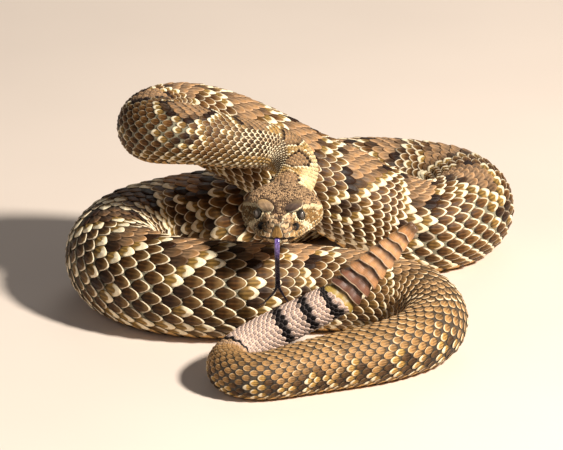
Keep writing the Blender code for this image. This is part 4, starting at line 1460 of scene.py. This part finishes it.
class SNAKE_OT_skin(bpy.types.Operator):
    """Builds the one skin from the rattle's root to the snout"""
    bl_idname = "snake.skin"
    bl_label = "Build skin"

    BODY_ROUNDS = 64
    HEAD_ROUNDS = 192
    RING_STEP = 1.5
    ROOT = -1.6              # where the skin closes, just behind the rattle's root
    STRIPS = 7

    def execute(self, context):
        body = Body()
        head = Head()
        colours = Markings(context.scene.snake_colours)
        coarse = Rounds(self.BODY_ROUNDS)
        fine = Rounds(self.HEAD_ROUNDS)
        distances = np.arange(0.0, body.length - 0.5, self.RING_STEP)
        grid_along, grid_around = np.meshgrid(distances, coarse.around, indexing="ij")
        body_points = body.sheet.at(grid_along, grid_around, -coat_depth(body.radius(grid_along)))
        head_along = np.arange(0.0, Head.END - 0.1, 2 * Head.SHEET_STEP)
        head_grid_along, head_grid_around = np.meshgrid(head_along, fine.around, indexing="ij")
        head_points = head.sheet.at(head_grid_along, head_grid_around, -HEAD_COAT)
        end = np.full(1, self.ROOT)
        root = body.sheet.at(np.full(coarse.count, self.ROOT), coarse.around, -0.35 * body.radius(end))
        tip = head_points[-1].mean(0, keepdims=True)
        points = np.concatenate([body.place(end), root, body_points.reshape(-1, 3),
                                 head_points.reshape(-1, 3), tip])

        faces = Faces()
        start = 1 + coarse.count * (len(distances) + 1)
        coarse.add_rings(faces, 1, np.concatenate(([self.ROOT], distances)))
        fine.add_rings(faces, start, body.length + head_along)
        self.close(faces, coarse, 0, 1, self.ROOT)
        self.join(faces, coarse, fine, start, distances[-1], body.length)
        tip_ring = start + (len(head_along) - 1) * fine.count
        faces.add((tip_ring + fine.numbers, tip_ring + fine.after, len(points) - 1),
                  [body.length + Head.END] * 3, (fine.around, fine.around + fine.step, fine.around))
        item = faces.mesh("skin", points)
        long = body.length + Head.END
        add_map(item, "OFBake", np.concatenate([
            strips(np.maximum(along, 0.0), around, long, self.STRIPS).reshape(-1, 2)
            for along, around in faces.places]))

        body_marks = colours.skin(grid_along.ravel(), grid_around.ravel())
        root_marks = colours.skin(np.zeros(coarse.count + 1), np.concatenate(([0.0], coarse.around)))
        along = head_grid_along.ravel()
        around = head_grid_around.ravel()
        head_marks = self.head_marks(colours, along, around, head.local.at(along, around))
        at_neck = colours.skin(np.full(len(along), body.length), around)
        head_marks = mixed(at_neck, head_marks, between(along, 0.0, 6.0))
        add_colour(item, "Marking", np.concatenate([root_marks, body_marks, head_marks, head_marks[-1:]]))
        give_material(item, skin_material())
        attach(item, BODY)
        others = ("eye_left", "eye_right", "tongue", "rattle")
        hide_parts(*[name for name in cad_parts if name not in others])
        return {"FINISHED"}

    def close(self, faces, ring, middle, start, along):
        """Closes the skin at its rear with triangles round a middle point."""
        faces.add((middle, start + ring.after, start + ring.numbers), [along] * 3,
                  (ring.around + 0.5 * ring.step, ring.around + ring.step, ring.around))

    def join(self, faces, coarse, fine, start, here, ahead):
        """Joins the last ring of the body to the finer first ring of the head."""
        times = fine.count // coarse.count
        last = start - coarse.count + coarse.numbers
        last_after = start - coarse.count + coarse.after
        first = coarse.numbers * times
        for part in range(times):
            corner = last if part == 0 else last_after
            shift = 0.0 if part == 0 else coarse.step
            faces.add((corner, start + (first + part + 1) % fine.count, start + first + part),
                      (here, ahead, ahead),
                      (coarse.around + shift, coarse.around + coarse.step * (part + 1) / times,
                       coarse.around + coarse.step * part / times))
        faces.add((last, last_after, start + (first + 1) % fine.count), (here, here, ahead),
                  (coarse.around, coarse.around + coarse.step, coarse.around + coarse.step / times))

    def head_marks(self, colours, along, around, local):
        """Colours of the head's skin: painted shade in the hollows and along the mouth's line, and a darker
        version of its scales' colours elsewhere.
        """
        half = np.full(len(along), 0.5)
        middle, _ = head_colours(colours, local, half, half)
        marks = middle * 0.4
        left = mirrored(local)
        # painted shade: near-black in the pits, nostrils, eye sockets and the notch for the tongue
        for place, sizes in ((PIT_PLACE, (2.6, 4.2, 1.6)), (NOSTRIL_PLACE, (1.1, 2.2, 1.2)),
                             (EYE_PLACE, (3.0, 4.4, 2.8)), ((50.0, 0.0, -3.1), (2.5, 1.7, 0.9))):
            hollow = 1 - between(from_spot(left, place, sizes), 0.95, 1.15)
            marks = mixed(marks, np.array((0.006, 0.004, 0.003)), hollow)
        # painted shade along the line of the mouth
        from_mouth = np.abs(np.abs(around) - MOUTH_TURN) * HALF_GIRTH
        line = (1 - between(from_mouth, 0.3, 0.8)) * (along > JAW_BACK)
        return mixed(marks, np.array((0.02, 0.012, 0.01)), line)


class SNAKE_OT_scales(bpy.types.Operator):
    """Lays the keeled scales over the body, from the rattle's root to the nape"""
    bl_idname = "snake.scales"
    bl_label = "Lay body scales"

    LENGTHS = (
        ("scales_tail", -2.0, 58.0, "tail_skin"),
        ("scales_front_length", 58.0, 180.0, "skin"),
        ("scales_right_turn", 180.0, 293.0, "skin"),
        ("scales_left_turn", 293.0, 473.0, "skin"),
        ("scales_rear_length", 473.0, 660.0, "skin"),
        ("scales_rise", 660.0, 800.0, "skin"),
        ("scales_raised_turn", 800.0, 925.0, "skin"),
        ("scales_neck", 925.0, 1000.0, "skin"),
    )

    def execute(self, context):
        body = Body()
        settings = context.scene.snake_scales
        markings = Markings(context.scene.snake_colours)
        random = np.random.default_rng(settings.seed)
        pieces = body_pieces(body, settings, random)
        template = round_template(14, (0.2, 0.3))
        finish = scale_material("scale_finish")
        for name, low, high, slot in self.LENGTHS:
            part = pieces.chosen((pieces.along >= low) & (pieces.along < high))
            points = wrapped(body.sheet, template, part, scale_profile(settings.keel), egg)
            middle, rim = markings.at(part.along, part.around, part.tint, part.other)
            places = unwrapped(part.along, part.around, low, high)
            item = coat(name, template, points, places, middle, rim, finish)
        return {"FINISHED"}


class SNAKE_OT_belly(bpy.types.Operator):
    """Lays the wide overlapping plates under the body and the tail"""
    bl_idname = "snake.belly"
    bl_label = "Lay belly plates"

    LAP = 1.42               # length of a plate over the space between plates
    UNDER = 0.02             # how far plates run on under the scales, as a share of half the girth

    def execute(self, context):
        body = Body()
        markings = Markings(context.scene.snake_colours)
        random = np.random.default_rng(context.scene.snake_scales.seed + 1)
        template = plate_template()
        rows = Rows(body)
        along = np.interp(np.arange(1, int(rows.count[-1])), rows.count, rows.distance)
        radius = body.radius(along)
        around = np.ones(len(along))
        girth = body.sheet.look_up(body.sheet.stretch_around, along, around)[:, 0]
        depth = coat_depth(radius)
        pieces = Pieces(along=along, around=around, length=0.5 * scale_shape(along, 1) * radius * self.LAP,
                        width=(1 - PLATE_EDGE + self.UNDER) * girth, turn=0.0, rise=depth * 0.92,
                        depth=depth * 1.02)
        points = wrapped(body.sheet, template, pieces, plate_profile, plain)
        middle, rim = markings.belly_colours(along, random.random(len(along)))
        places = unwrapped(along, np.zeros(len(along)), along[0] - 1.0, along[-1] + 1.0)
        item = coat("belly_plates", template, points, places, middle, rim,
                    scale_material("belly_finish", 0.0, 0.16, 0.36))
        return {"FINISHED"}


class SNAKE_OT_head(bpy.types.Operator):
    """Lays the small scales of the head, the shields of lips, snout and face, and the plates over the eyes"""
    bl_idname = "snake.head"
    bl_label = "Lay head scales and shields"

    EYE_SHIELDS = 16         # shields round each eye, counted as if none were left out under the brow
    ROUND = 481              # points round the head on which each row of small scales is laid out
    ROW_SPACE = 0.62         # space between rows of small scales, as a share of their length
    SCALE_SPACE = 0.84       # and between scales in a row
    LAST_ROW = 48.6          # the rows end before this distance
    UNWRAP = (0.0, 50.6)     # distances along the head that the unwrap of the shields covers
    FRONT_ROW = 49.9         # where the shields of the snout's front lie on it

    def execute(self, context):
        head = Head()
        colours = Markings(context.scene.snake_colours)
        random = np.random.default_rng(context.scene.snake_scales.seed + 2)
        shields = self.shield_rows(head)
        self.small_scales(context, head, colours, random, shields)
        self.shields(head, colours, random, shields)
        self.plates(head, colours)
        return {"FINISHED"}

    def shield_rows(self, head):
        """Every shield of the left side, as place along and round, half length, half width, turn and kind."""
        rows = []
        lip = np.concatenate((np.linspace(14.6, 40.4, 12), np.linspace(42.4, 46.6, 3)))
        edges = np.concatenate(([13.6], 0.5 * (lip[1:] + lip[:-1]), [47.7]))
        for number, along in enumerate(lip):
            size = 0.5 * (edges[number + 1] - edges[number])
            tall = float(np.interp(along, (14.0, 30.0, 44.0, 49.0), (1.0, 1.3, 1.45, 1.2)))
            rows.append((along, MOUTH_TURN - 0.023 * tall / 1.2, size * 1.0, tall, 0.0, 1))
            rows.append((along - 0.8, MOUTH_TURN + 0.025, size * 1.0, 1.15, 0.0, 2))
        for number in range(self.EYE_SHIELDS):
            angle = 2 * math.pi * number / self.EYE_SHIELDS
            along = EYE_PLACE[0] + 3.45 * math.cos(angle)
            height = EYE_PLACE[2] + 3.2 * math.sin(angle)
            if height < 5.6:
                rows.append((along, head.turn_at(along, height), 0.74, 0.64, 0.0, 3))
        for along, height, long, tall, turn in (
                (39.9, 4.7, 1.25, 0.75, 0.15), (39.4, 2.9, 1.15, 0.62, 0.2), (44.0, 4.3, 1.15, 0.9, 0.1),
                (41.9, 3.4, 1.05, 0.8, 0.1), (46.0, 1.2, 1.0, 0.7, 0.0),
                (45.6, -0.7, 0.9, 0.75, 0.0), (38.9, 0.6, 0.95, 0.85, 0.35), (39.5, -1.4, 0.95, 0.75, 0.1),
                (42.0, -2.2, 1.05, 0.6, 0.0), (44.2, -2.0, 0.95, 0.6, 0.0)):
            rows.append((along, head.turn_at(along, height), long, tall, turn, 4))
        for along, across, long, wide, turn in (
                (42.4, 5.2, 1.6, 1.15, 0.28), (45.6, 3.9, 1.4, 1.1, 0.30), (46.9, 1.35, 1.15, 1.15, 0.0),
                (43.4, 3.0, 1.2, 1.0, 0.1), (44.4, 1.1, 1.0, 0.95, 0.0)):
            rows.append((along, head.turn_at(along, across=across), long, wide, turn, 5))
        for along, turn, long, wide in ((46.2, 0.90, 2.6, 1.6), (42.0, 0.91, 1.8, 1.4)):
            rows.append((along, turn, long, wide, 0.0, 6))
        return np.array(rows)

    def small_scales(self, context, head, colours, random, shields):
        """Small keeled scales in rows round the head, left out where eyes, pits and shields are."""
        settings = context.scene.snake_scales
        template = round_template(8, (0.34,))
        pitch = settings.head_size / MM
        rows = []
        distance = 0.9
        number = 0
        turns = np.linspace(-1.0, 1.0, self.ROUND)
        while distance < self.LAST_ROW:
            sizes = lengths_along(head.local.at(np.full(self.ROUND, distance), turns))
            grow = 1.0 + 0.75 * (1 - float(between(distance, 0.0, 15.0)))
            count = max(8, int(round(sizes[-1] / (pitch * self.SCALE_SPACE * grow))))
            wanted = (np.arange(count) + 0.5 * (number % 2) + 0.25) / count * sizes[-1]
            around = np.interp(wanted % sizes[-1], sizes, turns)
            rows.append(np.stack([np.full(count, distance), around, np.full(count, grow),
                                  np.full(count, sizes[-1] / count)], 1))
            distance += pitch * self.ROW_SPACE * grow
            number += 1
        along, around, grow, space = np.concatenate(rows).T
        wobble = np.clip(random.normal(0.0, 1.0, (len(along), 5)), -2, 2)
        along = along + 0.09 * pitch * wobble[:, 0]
        around = around + 0.0014 * wobble[:, 1]
        place = head.local.at(along, around)
        left = mirrored(place)
        wide = left[:, 1]
        high = left[:, 2]
        turn = np.abs(around)
        from_mouth = (turn - MOUTH_TURN) * HALF_GIRTH
        _, from_plate = brow_place(left[:, 0], wide)
        keep = ~((from_plate < 0.96) & (high > 5.4))
        for spot, sizes in ((EYE_PLACE, (3.0, 4.6, 2.8)), (PIT_PLACE, (2.7, 3.5, 1.8)),
                            (NOSTRIL_PLACE, (1.4, 2.5, 1.45))):
            keep &= from_spot(left, spot, sizes) > 1.0
        keep &= ~((along > JAW_BACK + 1.0) & (np.abs(from_mouth) < 1.0))
        keep &= ~((along > 47.0) & (wide < 3.0) & (high < 5.0))
        for across, height, half_width, half_height, _ in FRONT_SHIELDS:
            seen = np.hypot((wide - across) / (half_width + 0.25), (high - height) / (half_height + 0.25))
            keep &= ~((along > 46.0) & (seen < 1.0))
        for shield in shields:
            centre = head.local.at(shield[0:1], -shield[1:2])[0]
            long, tall = shield[2:4]
            keep &= from_spot(left, centre, (long + 0.1, max(long, tall) + 0.1, tall + 0.1)) > 1.0
        under = between(turn, 0.6, 0.72)
        swell = 1.0 + 0.35 * under + 0.2 * between(wide, 12.0, 17.0)
        pieces = Pieces(along=along, around=around,
                        length=0.5 * pitch * 1.22 * grow * swell * (1 + 0.08 * wobble[:, 2]),
                        width=0.5 * space * 1.16 * (1 + 0.1 * under) * (1 + 0.08 * wobble[:, 3]),
                        turn=0.08 * wobble[:, 4], rise=0.42, depth=HEAD_COAT,
                        tint=random.random(len(along)), other=random.random(len(along)), point=0.5)
        chosen = pieces.chosen(keep)
        points = wrapped(head.sheet, template, chosen, scale_profile(0.34), egg)
        middle, rim = head_colours(colours, place[keep], chosen.tint, chosen.other)
        nape = 1 - between(chosen.along + 4.0 * (chosen.other - 0.5), 1.0, 9.0)
        nape_middle, nape_rim = colours.at(np.full(len(chosen), Body().length - 1.0), chosen.around,
                                           chosen.tint, chosen.other)
        item = coat("scales_head", template, points, unwrapped(chosen.along, chosen.around, 0.0, Head.END),
                    mixed(middle, nape_middle, nape), mixed(rim, nape_rim, nape),
                    scale_material("head_scale_finish", 0.35, 0.3, 0.46))

    def shields(self, head, colours, random, rows):
        """Wraps the shields of both sides over the head."""
        template = round_template(16, (0.14, 0.3))
        both = np.concatenate([rows, rows * (1.0, -1.0, 1.0, 1.0, -1.0, 1.0)])
        along, around, half_length, half_width, turn, kind = both.T
        around = -around
        pieces = Pieces(along=along, around=around, length=half_length, width=half_width, turn=-turn,
                        rise=np.where(kind == 3, 0.5, 0.44), depth=HEAD_COAT,
                        tint=random.random(len(along)), other=random.random(len(along)))
        points = wrapped(head.sheet, template, pieces, shield_profile, tile)
        local = head.local.at(along, around)
        places = unwrapped(along, around, *self.UNWRAP)
        front = np.array(FRONT_SHIELDS)
        front = np.concatenate([front, front * (-1.0, 1.0, 1.0, 1.0, 1.0)])
        front_points = self.front_shields(head, template, front)
        ahead = head.front(front[:, 0], front[:, 1])
        points = np.concatenate([points, front_points])
        local = np.concatenate([local, np.stack([ahead, front[:, 0], front[:, 1]], 1)])
        front_row = np.full(len(front), self.FRONT_ROW)
        spread = np.linspace(-0.9, 0.9, len(front))
        places = np.concatenate([places, unwrapped(front_row, spread, *self.UNWRAP)])
        kind = np.concatenate([kind, front[:, 4]])
        tint = np.concatenate([pieces.tint, random.random(len(front))])
        other = np.concatenate([pieces.other, random.random(len(front))])
        middle, rim = head_colours(colours, local, tint, np.minimum(other, 0.78))
        rim[:, :3] = mixed(rim[:, :3], colours.head_pale, np.where(kind == 1, 0.9, 0.25))
        rim[:, 3] = np.where(kind == 1, 0.78, 0.86)
        middle = mixed(middle, colours.head_pale * 0.75, np.where(kind == 2, 0.45, 0.0))
        item = coat("shields_head", template, points, places, middle, rim,
                    scale_material("shield_finish", 0.0, 0.45, 0.4, 1.0))

    def front_shields(self, head, template, rows):
        """Points of the shields of the snout's front, each laid flat against it as seen from ahead."""
        x, y = tile(template, None)
        rise = shield_profile(template)
        points = []
        for across, height, wide, tall, kind in rows:
            sideways = across + wide * x[0]
            upward = height - tall * y[0]
            chin = 1.5 if kind == 2 else 0.0
            ahead = head.front(sideways, upward) - chin + 0.40 * rise - HEAD_COAT * 0.6
            points.append(head.spot(np.stack([ahead, sideways, upward], 1)))
        return np.array(points)

    def plates(self, head, colours):
        """The plates over the eyes, the rostral shield of the snout and the chin's first shield."""
        template = round_template(32, (0.06, 0.16, 0.26, 0.26))
        x = template.x
        y = template.y
        ring = template.ring
        under = template.under
        drop = np.where(under, 0.75, 0.0) + 0.22 * (ring > 0.97)
        points = []
        for hand in (1, -1):
            along = BROW_LINE[0] - BROW_HALF[0] * y
            across = BROW_LINE[1] + BROW_LINE[2] * (BROW_LINE[0] - along)
            across = across + (BROW_HALF[1] - 0.9 * np.maximum(-y, 0.0)) * x
            dome = 0.40 * (1 - 0.8 * ring ** 2) + 0.30 * between(x, 0.2, 0.95)
            height = BROW_TOP - 0.07 * (along - BROW_LINE[0]) - 0.050 * np.maximum(along - 35.0, 0.0) ** 1.3
            height = height - 0.75 * np.maximum(x, 0.0) ** 2.2 - 0.15 * np.maximum(-x, 0.0) ** 2 + dome - drop
            height = height - 1.1 * under * between(x, 0.2, 0.9)
            points.append(head.spot(np.stack([along, across * hand, height], 1)))
        x, y = (values[0] for values in tile(template, None))
        across = (1.35 + 1.75 * between(y, -1.0, 1.0)) * x
        height = 0.85 + 3.45 * -y + 0.75 * bell(across / 1.1) * between(y, 0.75, 1.0)
        along = head.front(across * 0.98, height) + 0.10 + 0.28 * (1 - ring ** 2) - 0.6 * drop
        points.append(head.spot(np.stack([along, across, height], 1)))
        across = 1.9 * x
        height = -5.0 - 1.5 * y
        along = head.front(across, height) - 1.45 + 0.2 * (1 - ring ** 2) - 0.6 * drop
        points.append(head.spot(np.stack([along, across, height], 1)))
        middle = np.stack([colours.brow * 0.45, colours.crown * 0.72, colours.cheek * 1.2,
                           colours.head_pale * 0.5])
        rim = np.array((0.8, 0.95, 0.8, 0.8))[:, None] * colours.head_pale
        rim = np.column_stack([rim, (0.93, 0.93, 0.93, 0.92)])
        places = np.array(((0.1, 0.1), (0.1, 0.3), (0.3, 0.1), (0.3, 0.3)))
        item = coat("plates_head", template, np.array(points), places, middle, rim,
                    scale_material("plate_finish", 0.25, 0.5, 0.38, 1.0))


class SNAKE_OT_eyes(bpy.types.Operator):
    """Makes the two eyes, each with an iris and an upright slit"""
    bl_idname = "snake.eyes"
    bl_label = "Make eyes"

    def execute(self, context):
        head = Head()
        finish = eye_material()
        for hand, name in ((1, "eye_left"), (-1, "eye_right")):
            start_clean()
            bpy.ops.mesh.primitive_uv_sphere_add(segments=48, ring_count=32, radius=1.0)
            item = bpy.context.object
            item.name = f"{name}_ball"
            item.data.name = item.name
            places = points_of(item.data)[:, (0, 2, 1)] * (1.0, 1.0, -1.0)
            bulge = 1 + 0.07 * between(places[:, 1] * hand, 0.6, 1.0)
            yaw = math.radians(-EYE_YAW * hand)
            turned = np.stack([places[:, 0] * math.cos(yaw) - places[:, 1] * math.sin(yaw),
                               places[:, 0] * math.sin(yaw) + places[:, 1] * math.cos(yaw), places[:, 2]], 1)
            spots = turned * bulge[:, None] * EYE_RADIUS * 0.99
            centre = np.array((EYE_PLACE[0], EYE_PLACE[1] * hand, EYE_PLACE[2]))
            set_points(item.data, head.spot(centre + spots))
            item.data.update()
            add_map(item, "Iris", 0.5 + 0.5 * places[corners_of(item.data)][:, (0, 2)])
            give_material(item, finish)
            start_clean()
            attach(item, BODY)
            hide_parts(name)
        return {"FINISHED"}


class SNAKE_OT_tongue(bpy.types.Operator):
    """Makes the forked tongue"""
    bl_idname = "snake.tongue"
    bl_label = "Make tongue"

    SIDES = 16
    TIP = -43.5              # height of the longer tine's tip

    def rings(self, head, path):
        """Flattened rings along a hanging path, with the height of each."""
        curve = spline(path, 10)
        spots = head.spot(curve[:, :3])
        run = unit(np.gradient(spots, axis=0))
        thin = unit(np.cross(run, head.side))
        wide = np.cross(thin, run)
        angle = np.arange(self.SIDES) * 2 * math.pi / self.SIDES
        half = curve[:, 3][:, None]
        groove = 1 - 0.35 * bell(np.cos(angle) / 0.35)[None, :]
        thick = np.maximum(half * 0.5, 0.2) * np.sin(angle)[None, :] * groove
        points = (spots[:, None] + wide[:, None] * (half * np.cos(angle))[..., None]
                  + thin[:, None] * thick[..., None])
        return points, curve[:, 2]

    def execute(self, context):
        head = Head()
        faces = Faces()
        ring = Rounds(self.SIDES)
        points = []
        heights = []
        start = 0
        for path in (TONGUE_PATH,) + TONGUE_TINES:
            rings, height = self.rings(head, path)
            points += [rings.reshape(-1, 3), rings[[0, -1]].mean(1)]
            heights += [np.repeat(height, self.SIDES), height[[0, -1]]]
            low = start + self.SIDES * np.arange(len(rings) - 1)[:, None]
            high = low + self.SIDES
            faces.add((low + ring.numbers, high + ring.numbers, high + ring.after, low + ring.after))
            last = start + (len(rings) - 1) * self.SIDES
            middle = last + self.SIDES
            faces.add((start + ring.numbers, start + ring.after, middle))
            faces.add((last + ring.after, last + ring.numbers, middle + 1))
            start = middle + 2
        item = faces.mesh("tongue_forked", np.concatenate(points))
        add_value(item, "Reach", np.clip(np.concatenate(heights) / self.TIP, 0.0, 1.0))
        give_material(item, tongue_material())
        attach(item, BODY)
        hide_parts("tongue")
        return {"FINISHED"}


class SNAKE_OT_rattle(bpy.types.Operator):
    """Makes the horny segments of the rattle, each gripping the next"""
    bl_idname = "snake.rattle"
    bl_label = "Make rattle"

    SIDES = 64
    SHAPE = (
        # share of the length, share of the half height and thickness
        (0.30, 0.66),
        (0.02, 0.78),
        (-0.07, 0.88),
        (-0.11, 0.95),
        (-0.10, 0.99),
        (-0.05, 1.02),
        (0.02, 1.03),
        (0.12, 1.00),
        (0.26, 0.965),
        (0.40, 0.91),
        (0.53, 0.85),
        (0.62, 0.80),
        (0.72, 0.77),
        (0.84, 0.76),
        (1.00, 0.73),
        (1.30, 0.61),
        (1.42, 0.45),
    )
    TONES = ((0.36, 0.24, 0.05), (0.11, 0.040, 0.024), (0.17, 0.066, 0.036), (0.41, 0.195, 0.080),
             (0.49, 0.25, 0.105), (0.52, 0.265, 0.115), (0.53, 0.27, 0.115), (0.53, 0.265, 0.105),
             (0.50, 0.235, 0.085))

    def segment(self):
        """One segment: a round of points extruded and resized along its profile, then closed."""
        start_clean()
        first = self.SHAPE[0]
        bpy.ops.mesh.primitive_circle_add(vertices=self.SIDES, radius=first[1], fill_type="NGON",
                                          location=(0.0, 0.0, first[0]))
        bpy.ops.object.transform_apply(location=True)
        bpy.ops.object.mode_set(mode="EDIT")
        bpy.ops.mesh.select_mode(type="EDGE")
        bpy.ops.mesh.select_all(action="SELECT")
        bpy.ops.mesh.region_to_loop()
        before = first
        for row in self.SHAPE[1:]:
            bpy.ops.mesh.extrude_edges_move(TRANSFORM_OT_translate={"value": (0.0, 0.0, row[0] - before[0])})
            grow = row[1] / before[1]
            bpy.ops.transform.resize(value=(grow, grow, 1.0), center_override=(0.0, 0.0, row[0]))
            before = row
        bpy.ops.mesh.edge_face_add()
        bpy.ops.mesh.select_all(action="SELECT")
        bpy.ops.mesh.normals_make_consistent(inside=False)
        bpy.ops.object.mode_set(mode="OBJECT")
        return bpy.context.object

    def execute(self, context):
        body = Body()
        point = body.place(np.array([0.0]))[0]
        run = RATTLE_TIP - point
        length = np.linalg.norm(run)
        run = run / length
        side = unit(np.cross(run, (0.0, 0.0, 1.0)))
        back = np.cross(side, run)
        scale = length / sum(row[0] for row in RATTLE_SEGMENTS)
        pattern = self.segment()
        mesh = pattern.data
        places = points_of(mesh)
        angle = np.arctan2(places[:, 0], places[:, 1])
        swell = np.hypot(places[:, 0], places[:, 1])
        share = places[:, 2]
        finish = horn_material()
        start = 0.15
        random = np.random.default_rng(context.scene.snake_scales.seed + 3)
        for number, (size, half_height, half_thickness) in enumerate(RATTLE_SEGMENTS):
            size *= scale
            last = number == len(RATTLE_SEGMENTS) - 1
            reach = np.minimum(share, 1.0 + 0.12 * (swell < 0.7)) if last else share
            wave = 0.13 * np.cos(2 * angle) + 0.05 * np.sin(3 * angle + 1.7 * number)
            spot_along = start + size * (reach - wave * between(-share, -0.7, 0.1))
            up = half_height * swell * np.cos(angle)
            across = half_thickness * swell * np.sign(np.sin(angle)) * np.abs(np.sin(angle)) ** 0.8
            across = across * (1.0 - 0.28 * bell(up / (0.24 * half_height)))
            up = up * (1.0 - 0.05 * bell(across / (0.35 * half_thickness)))
            dent = 1 + 0.012 * np.sin(5 * angle + 2.1 * number) + 0.01 * np.sin(9 * angle + 1.3 * number)
            copy = mesh.copy()
            copy.name = f"rattle_segment_{number + 1}"
            set_points(copy, point + run * spot_along[:, None] + back * (up * dent)[:, None]
                       + side * (across * dent)[:, None])
            copy.update()
            item = new_object(copy.name, copy)
            tone = np.array(self.TONES[number]) * (0.92 + 0.16 * random.random())
            # painted light and shade: each segment is lighter at its flared base and darkens towards its
            # waist, in the groove under the next segment's rim
            painted_light_and_shade = (1 - 0.78 * between(share, 0.30, 0.78)) * (1.25 - 0.25 * between(share, 0.0, 0.3))
            add_colour(item, "Tone", tone[None, :] * painted_light_and_shade[:, None])
            add_value(item, "Lip", bell((share + 0.06) / 0.06) * (swell > 0.9))
            add_value(item, "Growth", share + 0.37 * number)
            give_material(item, finish)
            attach(item, BODY)
            start += size
        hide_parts("rattle")
        bpy.data.objects.remove(pattern, do_unlink=True)
        bpy.data.meshes.remove(mesh)
        return {"FINISHED"}


class SNAKE_OT_stage(bpy.types.Operator):
    """Sets the pale floor, the soft lights and the camera"""
    bl_idname = "snake.stage"
    bl_label = "Set stage"

    AIM = Vector((-0.0055, -0.0325, 0.0543))
    SENSOR = 36.0

    def area(self, name, place, target, size, power, colour):
        """A round soft light that faces its target."""
        data = bpy.data.lights.new(name, "AREA")
        data.shape = "DISK"
        data.size = size
        data.energy = power
        data.color = colour
        item = new_object(name, data)
        item.location = place
        item.rotation_euler = (Vector(target) - Vector(place)).to_track_quat("-Z", "Y").to_euler()

    def execute(self, context):
        settings = context.scene.snake_stage
        start_clean()
        bpy.ops.mesh.primitive_plane_add(size=6.0, location=(0.0, 0.0, -0.0002))
        floor = bpy.context.object
        floor.name = "floor"
        bpy.ops.object.transform_apply(location=True)
        floor.data.materials.append(floor_material(tuple(settings.floor)))
        self.area("key_light", (1.06, -0.84, 1.17), (0.0, 0.0, 0.03), 0.22, settings.key, (1.0, 0.95, 0.86))
        self.area("fill_light", (-0.9, -0.9, 0.7), (0.0, 0.0, 0.03), 1.2, settings.fill, (0.92, 0.95, 1.0))
        self.area("rim_light", (0.2, 1.0, 0.8), (0.0, 0.0, 0.05), 0.8, settings.fill, (1.0, 0.97, 0.92))
        world = bpy.data.worlds.new("room")
        world.use_nodes = True
        background = world.node_tree.nodes["Background"]
        background.inputs["Color"].default_value = (1.0, 0.96, 0.92, 1.0)
        background.inputs["Strength"].default_value = settings.world
        context.scene.world = world
        camera = bpy.data.cameras.new("camera")
        camera.sensor_width = self.SENSOR
        camera.lens = self.SENSOR * settings.distance / settings.field
        camera.clip_end = 20.0
        item = new_object("camera", camera)
        away = Vector((0.0, -math.cos(settings.elevation), math.sin(settings.elevation)))
        item.location = self.AIM + away * settings.distance
        item.rotation_euler = (-away).to_track_quat("-Z", "Y").to_euler()
        context.scene.camera = item
        context.scene.view_settings.view_transform = "Standard"
        return {"FINISHED"}


class SNAKE_PT_panel(bpy.types.Panel):
    """The snake's pieces and their settings"""
    bl_label = "Rattlesnake"
    bl_idname = "SNAKE_PT_panel"
    bl_space_type = "VIEW_3D"
    bl_region_type = "UI"
    bl_category = "Snake"

    def draw(self, context):
        layout = self.layout
        for settings in (context.scene.snake_scales, context.scene.snake_colours, context.scene.snake_stage):
            box = layout.box()
            for name in settings.__annotations__:
                box.prop(settings, name)
        for operator in OPERATORS:
            layout.operator(operator.bl_idname)


SETTINGS = (
    ("snake_scales", SnakeScaleSettings),
    ("snake_colours", SnakeColourSettings),
    ("snake_stage", SnakeStageSettings),
)
OPERATORS = (SNAKE_OT_stage, SNAKE_OT_skin, SNAKE_OT_scales, SNAKE_OT_belly, SNAKE_OT_head, SNAKE_OT_eyes,
             SNAKE_OT_tongue, SNAKE_OT_rattle)


def register():
    for _, settings in SETTINGS:
        bpy.utils.register_class(settings)
    for name, settings in SETTINGS:
        setattr(bpy.types.Scene, name, PointerProperty(type=settings))
    for operator in OPERATORS:
        bpy.utils.register_class(operator)
    bpy.utils.register_class(SNAKE_PT_panel)


def unregister():
    bpy.utils.unregister_class(SNAKE_PT_panel)
    for operator in reversed(OPERATORS):
        bpy.utils.unregister_class(operator)
    for name, settings in reversed(SETTINGS):
        delattr(bpy.types.Scene, name)
        bpy.utils.unregister_class(settings)


def main():
    register()
    bpy.ops.snake.stage()
    bpy.ops.snake.skin()
    bpy.ops.snake.scales()
    bpy.ops.snake.belly()
    bpy.ops.snake.head()
    bpy.ops.snake.eyes()
    bpy.ops.snake.tongue()
    bpy.ops.snake.rattle()


if __name__ == "__main__":
    main()
